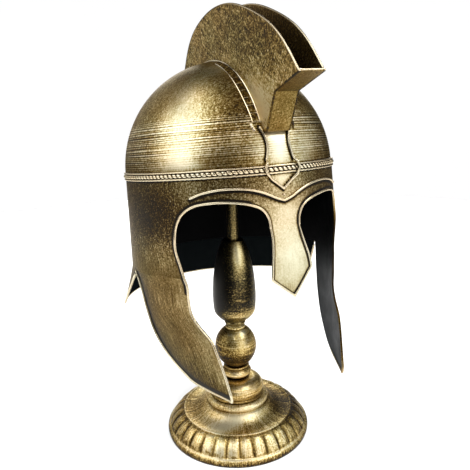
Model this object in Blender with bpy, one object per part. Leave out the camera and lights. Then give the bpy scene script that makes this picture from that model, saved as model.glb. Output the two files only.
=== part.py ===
"""Roman helmet with an open, hooked crest, on its turned display stand.

Metres, +Z up. The origin is under the middle of the stand's foot, and the face looks towards -Y.
The helmet has a frame of its own, whose XY plane is the plane of the head band. An empty tips it
back a little on the stand's post. In that frame a place on the wall below the band is given by
its angle from the front, in degrees towards +X, and by its drop below the band.
"""
import math

import bmesh
import bpy
from mathutils import Vector

# Where the helmet's frame sits
SEAT = (0.0, 0.0129, 0.3112)
TIP_BACK = math.radians(-7.2)

# Sheet, wire and the gap that neighbours keep
SHEET = 0.0015
WIRE_RADIUS = 0.0012
GAP = 0.0003
SKIN_GAP = 0.0006            # on curved, faceted neighbours, whose flats lie inside the true curve

# Dome and band
BAND_HALF_WIDTH = 0.107
BAND_HALF_LENGTH = 0.126
DOME_HEIGHT = 0.112
ROPE_HALF_HEIGHT = 0.0017
ROPE_HALF_DEPTH = 0.0011
BAND_WIRE_HEIGHT = 0.0030    # of each band wire above or below the rope's middle
BAND_WIRE_RADIUS = 0.0009

# Wall below the band
BROW_HALF_LENGTH = 0.128     # the brow laps over the dome in front
SIDE_FLARE = 0.031           # per metre of drop
REAR_FLARE = 0.03
WALL_DROP = 0.0967           # where cheeks and neck guard begin
NOTCH_ANGLE = 90.8
CHEEK_PINCH = 0.038          # share by which the wall is drawn in where the cheek begins
PINCH_START_DROP = 0.055
PINCH_ANGLE = 53.0

# Edge of the eye opening, from the nasal's root round to where the cheek begins
EYE_EDGE = (  # angle, drop
    (7.2, 0.0520),
    (7.9, 0.0425),
    (10.9, 0.0337),
    (17.3, 0.0281),
    (26.0, 0.0252),
    (35.3, 0.0248),
    (44.0, 0.0274),
    (50.4, 0.0353),
    (53.7, 0.0460),
    (55.1, 0.0590),
    (55.3, 0.0700),
    (54.1, 0.0830),
    (52.5, WALL_DROP),
)
STRIP_ANGLE = 64.0           # the wall's plain part starts here, behind the eye opening
EYE_TURN_ROW = 5             # row of EYE_EDGE where the edge starts to turn down
EYE_CORNER_ROW = 8           # row of EYE_EDGE that faces the corner of the plain part

# Nasal
NASAL = (  # drop, half_width
    (0.0620, 0.0140),
    (0.0720, 0.0159),
    (0.0820, 0.0182),
    (0.0940, 0.0202),
)
NASAL_TIP_DROP = 0.1140
NASAL_LEAN = 0.0115          # forward, at its corners and tip
NASAL_SIDE = 0.0012          # and a little towards +X, by hand
NASAL_LEAN_START = 0.045
NASAL_SKEW = 0.0034          # by hand: one corner is higher by twice this than the other

# Cheek guards: the two edges of each level section
CHEEK = (  # drop, front_x, front_y, back_x, back_y
    (0.1050, 0.0822, -0.0764, 0.1084, -0.0012),
    (0.1180, 0.0819, -0.0755, 0.1065, -0.0036),
    (0.1320, 0.0804, -0.0761, 0.1049, -0.0060),
    (0.1431, 0.0764, -0.0844, 0.1034, -0.0084),
    (0.1549, 0.0706, -0.0985, 0.1015, -0.0122),
    (0.1657, 0.0684, -0.1037, 0.0990, -0.0176),
    (0.1770, 0.0663, -0.1074, 0.0952, -0.0262),
    (0.1880, 0.0645, -0.1106, 0.0900, -0.0390),
    (0.1975, 0.0632, -0.1129, 0.0840, -0.0540),
    (0.2040, 0.0624, -0.1144, 0.0778, -0.0710),
)
CHEEK_TIP = (0.0616, -0.1142)
CHEEK_TIP_DROP = 0.2090
CHEEK_TIP_BOW = 0.3          # how much of the wall's roundness is left at the tip

# Neck guard
NECK_DROP = 0.1385
NECK_HALF_WIDTH = 0.1230
NECK_HALF_LENGTH = 0.1390
NECK_FRONT_ANGLE = 106.0     # of its lower corners

# Crest: outer edge of its side plates, from behind, over the top, to the point in front
CREST_EDGE = (  # y, z
    (0.0930, 0.0790),
    (0.0722, 0.1154),
    (0.0451, 0.1433),
    (0.0096, 0.1566),
    (-0.0330, 0.1600),
    (-0.0780, 0.1522),
    (-0.1286, 0.1302),
    (-0.1606, 0.1075),
    (-0.1870, 0.0762),
)
CREST_POINT = (-0.1870, 0.0750)
CREST_BEND = (-0.1452, 0.0648)
CREST_FOOT = (-0.1258, 0.0331)
CREST_TOE = (-0.1216, 0.0322)
CREST_FRONT_INSIDE = (       # from each of these corners to the sheet's inner face
    (-0.0003, SHEET),
    (0.0010, SHEET),
    (0.0012, 0.0010),
    (0.0000, SHEET),
)
CREST_TOE_HEIGHT = 0.0338    # of the side plates, which leave room for the shield's wire
CREST_HALF_WIDTH = 0.012
CREST_RIM_RADIUS = 0.0010

# Ladder strips along the crest's foot
STRIP_WIDTH = 0.0093
STRIP_TAPER = 0.14           # share of the width that is missing at the lower end
STRIP_HEIGHT = 0.0015
STRIP_BED = 0.0007
STRIP_RAIL = 0.0013
STRIP_START = 22.4           # rise of its lower end on the dome
STRIP_PITCH = 4.15
STRIP_GROWTH = 0.075         # the cells grow longer towards the crown
STRIP_CELLS = 10
STRIP_SLANT = 7.0            # of the last rung, whose inner end lies further up
SEAM_END = 132.0             # the inner rail goes on alone over the crown

# Wires laid on the face
BROW = (  # angle, drop
    (0.0, 0.0280),
    (3.7, 0.0256),
    (8.0, 0.0216),
    (12.5, 0.0181),
    (18.0, 0.0154),
    (25.0, 0.0142),
    (32.0, 0.0146),
    (39.0, 0.0169),
    (44.5, 0.0206),
)
SHIELD = (  # half_width, z
    (0.0145, 0.0372),
    (0.0136, 0.0345),
    (0.0126, 0.0318),
    (0.0116, 0.0285),
    (0.0109, 0.0210),
    (0.0122, 0.0133),
    (0.0141, 0.0075),
    (0.0166, 0.0018),
    (0.0158, -0.0030),
    (0.0118, -0.0078),
    (0.0060, -0.0125),
    (0.0000, -0.0175),
)
BAND_CROSSING = (0.0050, 0.0095)  # heights between which the shield's wire rises over the band
STUD_RADIUS = 0.0014
STUD_DROP = 0.0226

# Stand
LOBES = 32
LOBE_DEPTH = 0.0011
FOOT_RADIUS = 0.0842
BELL_Z = 0.0445
COLLAR_Z = 0.0670
BALL_Z = 0.0815
VASE_Z = 0.1306
POST_Z = 0.2336
POST_RADIUS = 0.0066
ROUND_SIDES = 24

# How finely the faceted solids follow their curves
DOME_COLUMNS = 36
DOME_ROWS = 8
RING_COLUMNS = 48
WIRE_SIDES = 4


# ---------------------------------------------------------------- curves

def smooth_step(value, start, end):
    """0 before start, 1 after end, and an even turn between them."""
    share = min(1.0, max(0.0, (value - start) / (end - start)))
    return share * share * (3.0 - 2.0 * share)


def mix(first, second, share):
    """The tuple that lies a share of the way from the first to the second."""
    return tuple(a + (b - a) * share for a, b in zip(first, second))


def smooth_curve(points, steps):
    """Catmull-Rom curve through the rows of a table, with steps spans to each row."""
    padded = [points[0]] + list(points) + [points[-1]]
    curve = []
    for before, start, end, after in zip(padded, padded[1:], padded[2:], padded[3:]):
        for step in range(steps):
            t = step / steps
            curve.append(tuple(
                0.5 * (2 * b + (c - a) * t + (2 * a - 5 * b + 4 * c - d) * t * t
                       + (3 * b - a - 3 * c + d) * t ** 3)
                for a, b, c, d in zip(before, start, end, after)))
    curve.append(tuple(points[-1]))
    return curve


def arc(centre, radii, start, end, steps):
    """Points (radius, height) on an arc of an ellipse, between two angles in degrees."""
    angles = [math.radians(start + (end - start) * step / steps) for step in range(steps + 1)]
    return [(centre[0] + radii[0] * math.cos(a), centre[1] + radii[1] * math.sin(a))
            for a in angles]


# ---------------------------------------------------------------- the helmet's surfaces

def dome_point(angle, rise, out=0.0):
    """Point on the dome: angle from the front, rise in degrees from the band to the crown."""
    turn = math.radians(angle)
    up = math.radians(rise)
    return Vector(((BAND_HALF_WIDTH + out) * math.cos(up) * math.sin(turn),
                   -(BAND_HALF_LENGTH + out) * math.cos(up) * math.cos(turn),
                   (DOME_HEIGHT + out) * math.sin(up)))


def dome_section_y(x, z, out=0.0):
    """How far from the crown's axis, in Y, the dome's skin lies at this x and z."""
    left = 1.0 - (x / (BAND_HALF_WIDTH + out)) ** 2 - (z / (DOME_HEIGHT + out)) ** 2
    return (BAND_HALF_LENGTH + out) * math.sqrt(max(0.0, left))


def wall_point(angle, drop, out=0.0):
    """Point on the outer face of the wall below the band."""
    side = BAND_HALF_WIDTH + SIDE_FLARE * drop + out
    if abs(angle) < 90.0:
        length = BROW_HALF_LENGTH + out
        low = smooth_step(drop, PINCH_START_DROP, WALL_DROP)
        front = smooth_step(90.0 - abs(angle), 0.0, 90.0 - PINCH_ANGLE)
        pinch = 1.0 - CHEEK_PINCH * low * front
    else:
        length = BAND_HALF_LENGTH + REAR_FLARE * drop + out
        pinch = 1.0
    turn = math.radians(angle)
    return Vector((pinch * side * math.sin(turn), -pinch * length * math.cos(turn), -drop))


def nasal_point(half_width, share, drop, out=0.0):
    """Point on the nasal: share runs across it, from -1 to 1."""
    side = BAND_HALF_WIDTH + SIDE_FLARE * drop
    angle = math.degrees(math.asin(half_width * share / side))
    point = wall_point(angle, drop, out)
    low = smooth_step(drop, NASAL_LEAN_START, NASAL[-1][0])
    point.y -= NASAL_LEAN * low
    point.x += NASAL_SIDE * low
    point.z += NASAL_SKEW * low * half_width * share / NASAL[-1][1]
    return point


def cheek_rows(steps):
    """Level sections of the cheek's edges, from the wall down, as rows of the CHEEK table."""
    front = wall_point(EYE_EDGE[-1][0], WALL_DROP)
    back = wall_point(NOTCH_ANGLE, WALL_DROP)
    first = (WALL_DROP, front.x, front.y, back.x, back.y)
    last = (CHEEK_TIP_DROP,) + CHEEK_TIP + CHEEK_TIP
    return smooth_curve((first,) + CHEEK + (last,), steps)


def wall_bow(share):
    """How far the wall's last level section bulges past its chord, front edge to notch."""
    front = wall_point(EYE_EDGE[-1][0], WALL_DROP)
    back = wall_point(NOTCH_ANGLE, WALL_DROP)
    across = (back - front).normalized()
    outward = Vector((-across.y, across.x, 0.0))
    if outward.x < 0.0:
        outward.negate()
    along = (back - front).length * share
    low, high = EYE_EDGE[-1][0], NOTCH_ANGLE
    for _ in range(24):
        middle = (low + high) / 2
        if (wall_point(middle, WALL_DROP) - front).dot(across) < along:
            low = middle
        else:
            high = middle
    return (wall_point(low, WALL_DROP) - front).dot(outward)


def cheek_point(row, share):
    """Point on the right cheek: row is one of cheek_rows, share runs from front to back edge."""
    drop, front_x, front_y, back_x, back_y = row
    front = Vector((front_x, front_y, -drop))
    back = Vector((back_x, back_y, -drop))
    chord = back - front
    if chord.length < GAP:
        return front
    across = chord.normalized()
    outward = Vector((-across.y, across.x, 0.0))
    if outward.x < 0.0:
        outward.negate()
    fall = (drop - WALL_DROP) / (CHEEK_TIP_DROP - WALL_DROP)
    full = (wall_point(NOTCH_ANGLE, WALL_DROP) - wall_point(EYE_EDGE[-1][0], WALL_DROP)).length
    kept = (1.0 + (CHEEK_TIP_BOW - 1.0) * fall) * min(1.0, chord.length / full)
    return front + chord * share + outward * wall_bow(share) * kept


def neck_point(share, fall):
    """Point on the neck guard: share runs round it behind, fall from its seam to its edge."""
    start = NOTCH_ANGLE + 0.9 + (NECK_FRONT_ANGLE - NOTCH_ANGLE) * fall
    turn = math.radians(start + (360.0 - 2 * start) * share)
    flare = fall ** 1.15
    side = BAND_HALF_WIDTH + SIDE_FLARE * WALL_DROP
    length = BAND_HALF_LENGTH + REAR_FLARE * WALL_DROP
    side += (NECK_HALF_WIDTH - side) * flare
    length += (NECK_HALF_LENGTH - length) * flare
    drop = WALL_DROP + GAP + (NECK_DROP - WALL_DROP - GAP) * fall
    return Vector((side * math.sin(turn), -length * math.cos(turn), -drop))


# ---------------------------------------------------------------- objects

def clear_objects():
    for old in list(bpy.data.objects):
        bpy.data.objects.remove(old, do_unlink=True)


def metal(name, colour, roughness, metallic=1.0):
    material = bpy.data.materials.new(name)
    material.use_nodes = True
    shader = material.node_tree.nodes["Principled BSDF"]
    shader.inputs["Base Color"].default_value = (*colour, 1.0)
    shader.inputs["Roughness"].default_value = roughness
    shader.inputs["Metallic"].default_value = metallic
    return material


def add_piece(name, mesh_data, parent, place=(0.0, 0.0, 0.0), look="brass"):
    """Make an object from a bmesh, with its own material and its faces pointing out."""
    bmesh.ops.remove_doubles(mesh_data, verts=mesh_data.verts, dist=0.00001)
    mesh = bpy.data.meshes.new(name)
    mesh_data.to_mesh(mesh)
    mesh_data.free()
    piece = bpy.data.objects.new(name, mesh)
    bpy.context.scene.collection.objects.link(piece)
    piece.parent = parent
    piece.location = place
    colour, roughness = LOOKS[look]
    mesh.materials.append(metal(name, colour, roughness))
    return piece


LOOKS = {
    "brass": ((0.42, 0.31, 0.13), 0.42),
    "dark_brass": ((0.20, 0.14, 0.06), 0.48),
    "bright_wire": ((0.76, 0.64, 0.40), 0.35),
    "stand": ((0.30, 0.21, 0.09), 0.34),
}


def close_outward(mesh_data):
    bmesh.ops.recalc_face_normals(mesh_data, faces=mesh_data.faces)
    if mesh_data.calc_volume(signed=True) < 0.0:
        bmesh.ops.reverse_faces(mesh_data, faces=mesh_data.faces)


def add_grid(mesh_data, rows):
    """Join rows of points into quads, or into triangles where a row is one point."""
    rings = [[mesh_data.verts.new(point) for point in row] for row in rows]
    for upper, lower in zip(rings, rings[1:]):
        if len(lower) == 1:
            for left, right in zip(upper, upper[1:]):
                mesh_data.faces.new((left, right, lower[0]))
            continue
        for index in range(len(upper) - 1):
            mesh_data.faces.new((upper[index], upper[index + 1], lower[index + 1], lower[index]))


def add_sheet(name, grids, parent, look="brass"):
    """Sheet metal: grids of its outer face, joined where they meet and thickened inward."""
    mesh_data = bmesh.new()
    for rows in grids:
        add_grid(mesh_data, rows)
    bmesh.ops.remove_doubles(mesh_data, verts=mesh_data.verts, dist=0.00005)
    bmesh.ops.recalc_face_normals(mesh_data, faces=mesh_data.faces)
    outward = sum(face.normal.dot(face.calc_center_median() * face.calc_area())
                  for face in mesh_data.faces)
    if outward < 0.0:
        bmesh.ops.reverse_faces(mesh_data, faces=mesh_data.faces)
    piece = add_piece(name, mesh_data, parent, look=look)
    thicken = piece.modifiers.new("thickness", "SOLIDIFY")
    thicken.thickness = SHEET
    thicken.offset = -1.0
    thicken.use_even_offset = False
    return piece


def add_loop(mesh_data, rings, closed):
    """Skin between rings of equally many points, with flat ends unless the run is closed."""
    loops = [[mesh_data.verts.new(point) for point in ring] for ring in rings]
    pairs = list(zip(loops, loops[1:]))
    if closed:
        pairs.append((loops[-1], loops[0]))
    for first, second in pairs:
        count = len(first)
        for index in range(count):
            after = (index + 1) % count
            mesh_data.faces.new((first[index], first[after], second[after], second[index]))
    if not closed:
        mesh_data.faces.new(loops[0])
        mesh_data.faces.new(list(reversed(loops[-1])))
    close_outward(mesh_data)


def add_wire(name, path, radius, parent, closed=False, sides=WIRE_SIDES, depth=None):
    """Round wire along a path, or a flat-oval one whose radial depth is given."""
    mesh_data = bmesh.new()
    count = len(path)
    rings = []
    for index, point in enumerate(path):
        before = path[(index - 1) % count] if closed or index else path[0]
        after = path[(index + 1) % count] if closed or index < count - 1 else path[-1]
        along = (after - before).normalized()
        outward = Vector((point.x, point.y, 0.0)).normalized()
        across = along.cross(outward).normalized()
        proud = across.cross(along).normalized()
        corner = (point - before).normalized().dot((after - point).normalized())
        miter = 1.0 / math.sqrt(max(0.3, (1.0 + corner) / 2)) if 0 < index < count - 1 else 1.0
        ring = []
        for side in range(sides):
            turn = 2 * math.pi * side / sides
            reach = across * math.cos(turn) * radius * miter
            ring.append(point + reach + proud * math.sin(turn) * (depth or radius))
        rings.append(ring)
    add_loop(mesh_data, rings, closed)
    return add_piece(name, mesh_data, parent, look="bright_wire")


def add_turned(name, profile, parent, height, sides=ROUND_SIDES):
    """Turned piece: profile rows are (radius, height above its own foot), from the foot up."""
    mesh_data = bmesh.new()
    rings = []
    for radius, rise in profile:
        turns = [2 * math.pi * side / sides for side in range(sides)]
        rings.append([Vector((radius * math.cos(a), radius * math.sin(a), rise)) for a in turns])
    add_loop(mesh_data, rings, closed=False)
    piece = add_piece(name, mesh_data, parent, (0.0, 0.0, height), look="stand")
    piece.data.shade_smooth()
    piece.data.set_sharp_from_angle(angle=math.radians(40))
    return piece


# ---------------------------------------------------------------- helmet pieces

def make_dome(helmet):
    rows = []
    for row in range(DOME_ROWS + 1):
        rise = 90.0 * row / DOME_ROWS
        if row == DOME_ROWS:
            rows.append([dome_point(0.0, rise)])
            continue
        ring = [dome_point(360.0 * column / DOME_COLUMNS, rise)
                for column in range(DOME_COLUMNS + 1)]
        rows.append([point + Vector((0.0, 0.0, GAP if row == 0 else 0.0)) for point in ring])
    add_sheet("dome", [rows], helmet)


def eye_strip(steps, rows):
    """Grid between the eye opening's edge and the band, then the plain part, as (angle, drop)."""
    edge = smooth_curve(EYE_EDGE, steps)
    turn = EYE_TURN_ROW * steps
    corner = EYE_CORNER_ROW * steps
    columns = []
    for index, place in enumerate(edge):
        if index <= turn:
            far = (place[0], 0.0)
        elif index <= corner:
            share = (index - turn) / (corner - turn)
            far = (edge[turn][0] + (STRIP_ANGLE - edge[turn][0]) * share, 0.0)
        else:
            far = (STRIP_ANGLE, WALL_DROP * (index - corner) / (len(edge) - 1 - corner))
        columns.append([mix(far, place, row / rows) for row in range(rows + 1)])
    return columns


def make_brow_wall(helmet, steps=1, rows=3, across=4):
    columns = eye_strip(steps, rows)
    grids = []
    for sign in (-1.0, 1.0):
        grids.append([[wall_point(sign * angle, drop) for angle, drop in column]
                      for column in columns])

    drops = [column[0][1] for column in columns[EYE_CORNER_ROW * steps:]]
    spans = 20
    behind = 360.0 - 2 * STRIP_ANGLE
    grids.append([[wall_point(wrap(STRIP_ANGLE + behind * span / spans), drop)
                   for span in range(spans + 1)] for drop in drops])

    shares = [2.0 * step / across - 1.0 for step in range(across + 1)]
    nasal = [[wall_point(EYE_EDGE[0][0] * share, drop) for share in shares]
             for _, drop in columns[0][:-1]]
    root = nasal_half_width(EYE_EDGE[0][1])
    nasal += [[nasal_point(half_width, share, drop) for share in shares]
              for drop, half_width in smooth_curve(((EYE_EDGE[0][1], root),) + NASAL, steps)]
    nasal.append([nasal_point(0.0, 0.0, NASAL_TIP_DROP)])
    grids.append(nasal)
    add_sheet("brow_wall", grids, helmet)


def wrap(angle):
    """The same direction as an angle between -180 and 180 degrees."""
    return angle - 360.0 if angle > 180.0 else angle


def nasal_half_width(drop):
    """Half the nasal's width at its root, where the eye edges start."""
    side = BAND_HALF_WIDTH + SIDE_FLARE * drop
    return side * math.sin(math.radians(EYE_EDGE[0][0]))


def mirror_x(point, sign):
    return Vector((sign * point.x, point.y, point.z))


def make_cheeks(helmet, steps=1, across=6):
    for name, sign in (("cheek_guard_left", 1.0), ("cheek_guard_right", -1.0)):
        rows = []
        for row in cheek_rows(steps):
            if row[0] >= CHEEK_TIP_DROP:
                rows.append([mirror_x(cheek_point(row, 0.0), sign)])
                continue
            shares = [step / across for step in range(across + 1)]
            rows.append([mirror_x(cheek_point(row, share), sign) for share in shares])
        for point in rows[0]:
            point.z -= SKIN_GAP
        add_sheet(name, [rows], helmet)


def make_neck_guard(helmet, rows=3, spans=20):
    add_sheet("neck_guard", [[[neck_point(span / spans, row / rows) for span in range(spans + 1)]
                              for row in range(rows + 1)]], helmet)


def band_point(angle, height, out):
    """Point of the band, which follows the brow in front and the dome behind."""
    turn = math.radians(angle)
    length = BROW_HALF_LENGTH if math.cos(turn) > 0.0 else BAND_HALF_LENGTH
    return Vector(((BAND_HALF_WIDTH + out) * math.sin(turn),
                   -(length + out) * math.cos(turn), height))


def make_band(helmet):
    rings = (("band_rope", 0.0, ROPE_HALF_HEIGHT, ROPE_HALF_DEPTH, 6),
             ("band_wire_upper", BAND_WIRE_HEIGHT, BAND_WIRE_RADIUS, BAND_WIRE_RADIUS, 4),
             ("band_wire_lower", -BAND_WIRE_HEIGHT, BAND_WIRE_RADIUS, BAND_WIRE_RADIUS, 4))
    for name, height, radius, depth, sides in rings:
        path = [band_point(360.0 * column / RING_COLUMNS, height, SKIN_GAP + depth)
                for column in range(RING_COLUMNS)]
        add_wire(name, path, radius, helmet, closed=True, sides=sides, depth=depth)


def edge_path(edges, inners):
    """Centre line of a wire that runs just outside a sheet's edge, at the sheet's mid thickness."""
    reach = WIRE_RADIUS * 1.05 + GAP
    path = []
    for index, (edge, inner) in enumerate(zip(edges, inners)):
        before = edges[max(0, index - 1)]
        after = edges[min(len(edges) - 1, index + 1)]
        along = (after - before).normalized()
        outward = edge - inner
        outward = (outward - along * outward.dot(along)).normalized()
        normal = along.cross(outward)
        if normal.dot(Vector((edge.x, edge.y, 0.0))) < 0.0:
            normal.negate()
        corner = 1.0
        if 0 < index < len(edges) - 1:
            corner = (edge - before).normalized().dot((after - edge).normalized())
        miter = 1.0 / math.sqrt(max(0.25, (1.0 + corner) / 2))
        path.append(edge + outward * reach * miter - normal * SHEET / 2)
    return path


def make_face_edge(helmet, steps=1):
    """One wire from notch to notch: cheek, eye opening, nasal, and the same on the other side."""
    rows = cheek_rows(steps)
    edges = [cheek_point(row, 1.0) for row in rows[1:-1]] + [cheek_point(rows[-1], 0.0)]
    inners = [cheek_point(row, 0.9) for row in rows[1:-1]] + [cheek_point(rows[-3], 0.4)]
    edges += [cheek_point(row, 0.0) for row in rows[-2:0:-1]]
    inners += [cheek_point(row, 0.1) for row in rows[-2:0:-1]]
    for column in reversed(eye_strip(steps, 4)):
        angle, drop = column[-2]
        toward_nasal = 1.0 - 0.3 * (1.0 - smooth_step(angle, EYE_EDGE[1][0], EYE_EDGE[3][0]))
        edges.append(wall_point(*column[-1]))
        inners.append(wall_point(angle * toward_nasal, drop))

    def nasal_side(sign):
        half = smooth_curve(NASAL, steps)
        return [[nasal_point(half_width, sign * share, drop) for drop, half_width in half]
                for share in (1.0, 0.9)]

    tip = nasal_point(0.0, 0.0, NASAL_TIP_DROP)
    root = nasal_point(0.0, 0.0, NASAL[-1][0])
    right, left = nasal_side(1.0), nasal_side(-1.0)
    edges = edges + right[0] + [tip] + left[0][::-1] + [mirror_x(p, -1.0) for p in edges[::-1]]
    inners = inners + right[1] + [root] + left[1][::-1] + [mirror_x(p, -1.0) for p in inners[::-1]]
    add_wire("face_edge", edge_path(edges, inners), WIRE_RADIUS, helmet, sides=6)


def make_neck_edge(helmet, rows=3, spans=20):
    edges = [neck_point(0.0, row / rows) for row in range(1, rows)]
    inners = [neck_point(0.05, row / rows) for row in range(1, rows)]
    side, side_inner = list(edges), list(inners)
    for span in range(spans + 1):
        edges.append(neck_point(span / spans, 1.0))
        inners.append(neck_point(max(0.03, min(0.97, span / spans)), 0.9))
    edges += [mirror_x(point, -1.0) for point in reversed(side)]
    inners += [mirror_x(point, -1.0) for point in reversed(side_inner)]
    add_wire("neck_edge", edge_path(edges, inners), WIRE_RADIUS, helmet, sides=6)


def face_skin(x, z, out):
    """Point in front of the dome or the wall, lifted where the band is crossed."""
    proud = 2 * ROPE_HALF_DEPTH + GAP
    if z > 0.0:
        proud += BROW_HALF_LENGTH - BAND_HALF_LENGTH
    lift = out + proud * (1.0 - smooth_step(abs(z), *BAND_CROSSING))
    if z > 0.0:
        return Vector((x, -dome_section_y(x, z, lift), z))
    angle = math.degrees(math.asin(x / (BAND_HALF_WIDTH + lift)))
    return wall_point(angle, -z, lift)


def make_brow_wire(helmet, steps=2):
    out = SKIN_GAP + WIRE_RADIUS
    half = [wall_point(angle, drop, out) for angle, drop in smooth_curve(BROW, steps)]
    path = [mirror_x(point, -1.0) for point in reversed(half[1:])] + half
    add_wire("brow_wire", path, WIRE_RADIUS, helmet)


def make_shield(helmet, steps=2):
    out = SKIN_GAP + WIRE_RADIUS
    half = [face_skin(x, z, out) for x, z in smooth_curve(SHIELD, steps)]
    path = [mirror_x(point, -1.0) for point in half] + list(reversed(half[:-1]))
    add_wire("shield_wire", path, WIRE_RADIUS, helmet)

    mesh_data = bmesh.new()
    bmesh.ops.create_icosphere(mesh_data, subdivisions=1, radius=STUD_RADIUS)
    place = wall_point(0.0, STUD_DROP, STUD_RADIUS + GAP)
    add_piece("brow_stud", mesh_data, helmet, place, look="bright_wire")


def crest_outline(steps):
    """Side plate's outline in Y and Z: along its outer edge, down the front, back on the dome."""
    edge = smooth_curve(CREST_EDGE, steps)
    outline = offset_inward(edge, CREST_RIM_RADIUS * 2 + GAP)
    outline += [CREST_BEND, CREST_FOOT]
    start = foot_rise(CREST_TOE_HEIGHT)
    end = 180.0 - foot_rise(outline[0][1] - 0.0004)
    spans = 7 * steps
    for span in range(spans + 1):
        point = foot_point(CREST_HALF_WIDTH, start + (end - start) * span / spans, SKIN_GAP + GAP)
        outline.append((point.y, point.z))
    return outline


def foot_point(x, rise, out):
    """Point at a height above the dome, given by x and by its rise in degrees from the front."""
    up = math.radians(rise)
    left = math.sqrt(1.0 - (x / (BAND_HALF_WIDTH + out)) ** 2)
    return Vector((x, -(BAND_HALF_LENGTH + out) * left * math.cos(up),
                   (DOME_HEIGHT + out) * left * math.sin(up)))


def foot_rise(z):
    """Rise at which the side plates' foot reaches a height, on the front half of the dome."""
    out = SKIN_GAP + GAP
    left = math.sqrt(1.0 - (CREST_HALF_WIDTH / (BAND_HALF_WIDTH + out)) ** 2)
    return math.degrees(math.asin(z / (DOME_HEIGHT + out) / left))


def offset_inward(edge, inset):
    """The (y, z) edge moved in by a width; it runs from behind over the top to the front."""
    moved = []
    for index, (y, z) in enumerate(edge):
        before = edge[max(0, index - 1)]
        after = edge[min(len(edge) - 1, index + 1)]
        run_y, run_z = after[0] - before[0], after[1] - before[1]
        length = math.hypot(run_y, run_z)
        moved.append((y - inset * -run_z / length * -1.0, z - inset * -run_y / length))
    return moved


def add_extrusion(name, outline, x_low, x_high, parent, look):
    """Flat plate: a (y, z) outline between two values of X."""
    mesh_data = bmesh.new()
    rings = [[Vector((x, y, z)) for y, z in outline] for x in (x_low, x_high)]
    add_loop(mesh_data, rings, closed=False)
    return add_piece(name, mesh_data, parent, look=look)


def make_crest(helmet, steps=2):
    outline = crest_outline(steps)
    inner = CREST_HALF_WIDTH - SHEET
    add_extrusion("crest_plate_left", outline, inner, CREST_HALF_WIDTH, helmet, "dark_brass")
    add_extrusion("crest_plate_right", outline, -CREST_HALF_WIDTH, -inner, helmet, "dark_brass")

    lead = (CREST_RIM_RADIUS * 2 + GAP) / math.dist(CREST_POINT, CREST_BEND)
    first = mix(CREST_POINT, CREST_BEND, lead)
    outside = (first, CREST_BEND, CREST_FOOT, CREST_TOE)
    inside = tuple((y + back, z + up) for (y, z), (back, up) in zip(outside, CREST_FRONT_INSIDE))
    half = inner - GAP
    add_extrusion("crest_front", outside + inside[::-1], -half, half, helmet, "dark_brass")

    centre = offset_inward(smooth_curve(CREST_EDGE, steps), CREST_RIM_RADIUS)
    middle = CREST_HALF_WIDTH - SHEET / 2
    left = [Vector((middle, y, z)) for y, z in centre[1:]]
    path = left + [mirror_x(point, -1.0) for point in reversed(left)]
    add_wire("crest_rim", path, CREST_RIM_RADIUS, helmet)


def strip_rise(cell):
    """Rise at which a cell of the ladder starts."""
    return STRIP_START + STRIP_PITCH * cell + STRIP_GROWTH * cell * cell


def make_crest_strips(helmet, tail=9):
    """Ladder strips on the dome beside the crest: two rails, a bed and a rung for each cell."""
    near = CREST_HALF_WIDTH + GAP
    rail = STRIP_RAIL / STRIP_WIDTH
    bed = STRIP_BED / STRIP_HEIGHT
    section = ((0.0, 0.0), (0.0, 1.0), (rail, bed), (1.0 - rail, bed), (1.0, 1.0), (1.0, 0.0))

    def width(rise):
        return STRIP_WIDTH * (1.0 - STRIP_TAPER * (1.0 - smooth_step(rise, STRIP_START, 38.0)))

    stations = []
    for cell in range(STRIP_CELLS):
        for start, rung in ((0.0, 0.9), (0.16, 0.9), (0.17, 0.0), (0.97, 0.0)):
            stations.append((strip_rise(cell + start), rung))
    end = strip_rise(STRIP_CELLS)
    stations += [(end, 0.9), (end + 0.7, 0.9)]
    seam = slanted(end + 0.8, 0.0)
    for name, sign in (("crest_strip_left", 1.0), ("crest_strip_right", -1.0)):
        rings = [[strip_point(near + width(rise) * across, slanted(rise, across), height, rung, sign)
                  for across, height in section] for rise, rung in stations]
        rings += [[strip_point(near + STRIP_RAIL * across, seam + (SEAM_END - seam) * step / tail,
                               height, 1.0, sign)
                   for across, height in section] for step in range(tail + 1)]
        mesh_data = bmesh.new()
        add_loop(mesh_data, rings, closed=False)
        add_piece(name, mesh_data, helmet, look="dark_brass")


def slanted(rise, across):
    """Rise of a place across the ladder, whose upper rungs are not square to it."""
    slant = STRIP_SLANT * max(0.0, (rise - 42.0) / 29.0) ** 1.5
    return rise + slant * (0.5 - across)


def strip_point(x, rise, height, rung, sign):
    """Point of a ladder strip's section, which a rung fills up to most of its rails' height."""
    if 0.0 < height < 1.0:
        height = max(height, rung)
    return mirror_x(foot_point(x, rise, SKIN_GAP + STRIP_HEIGHT * height), sign)


# ---------------------------------------------------------------- stand pieces

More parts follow.
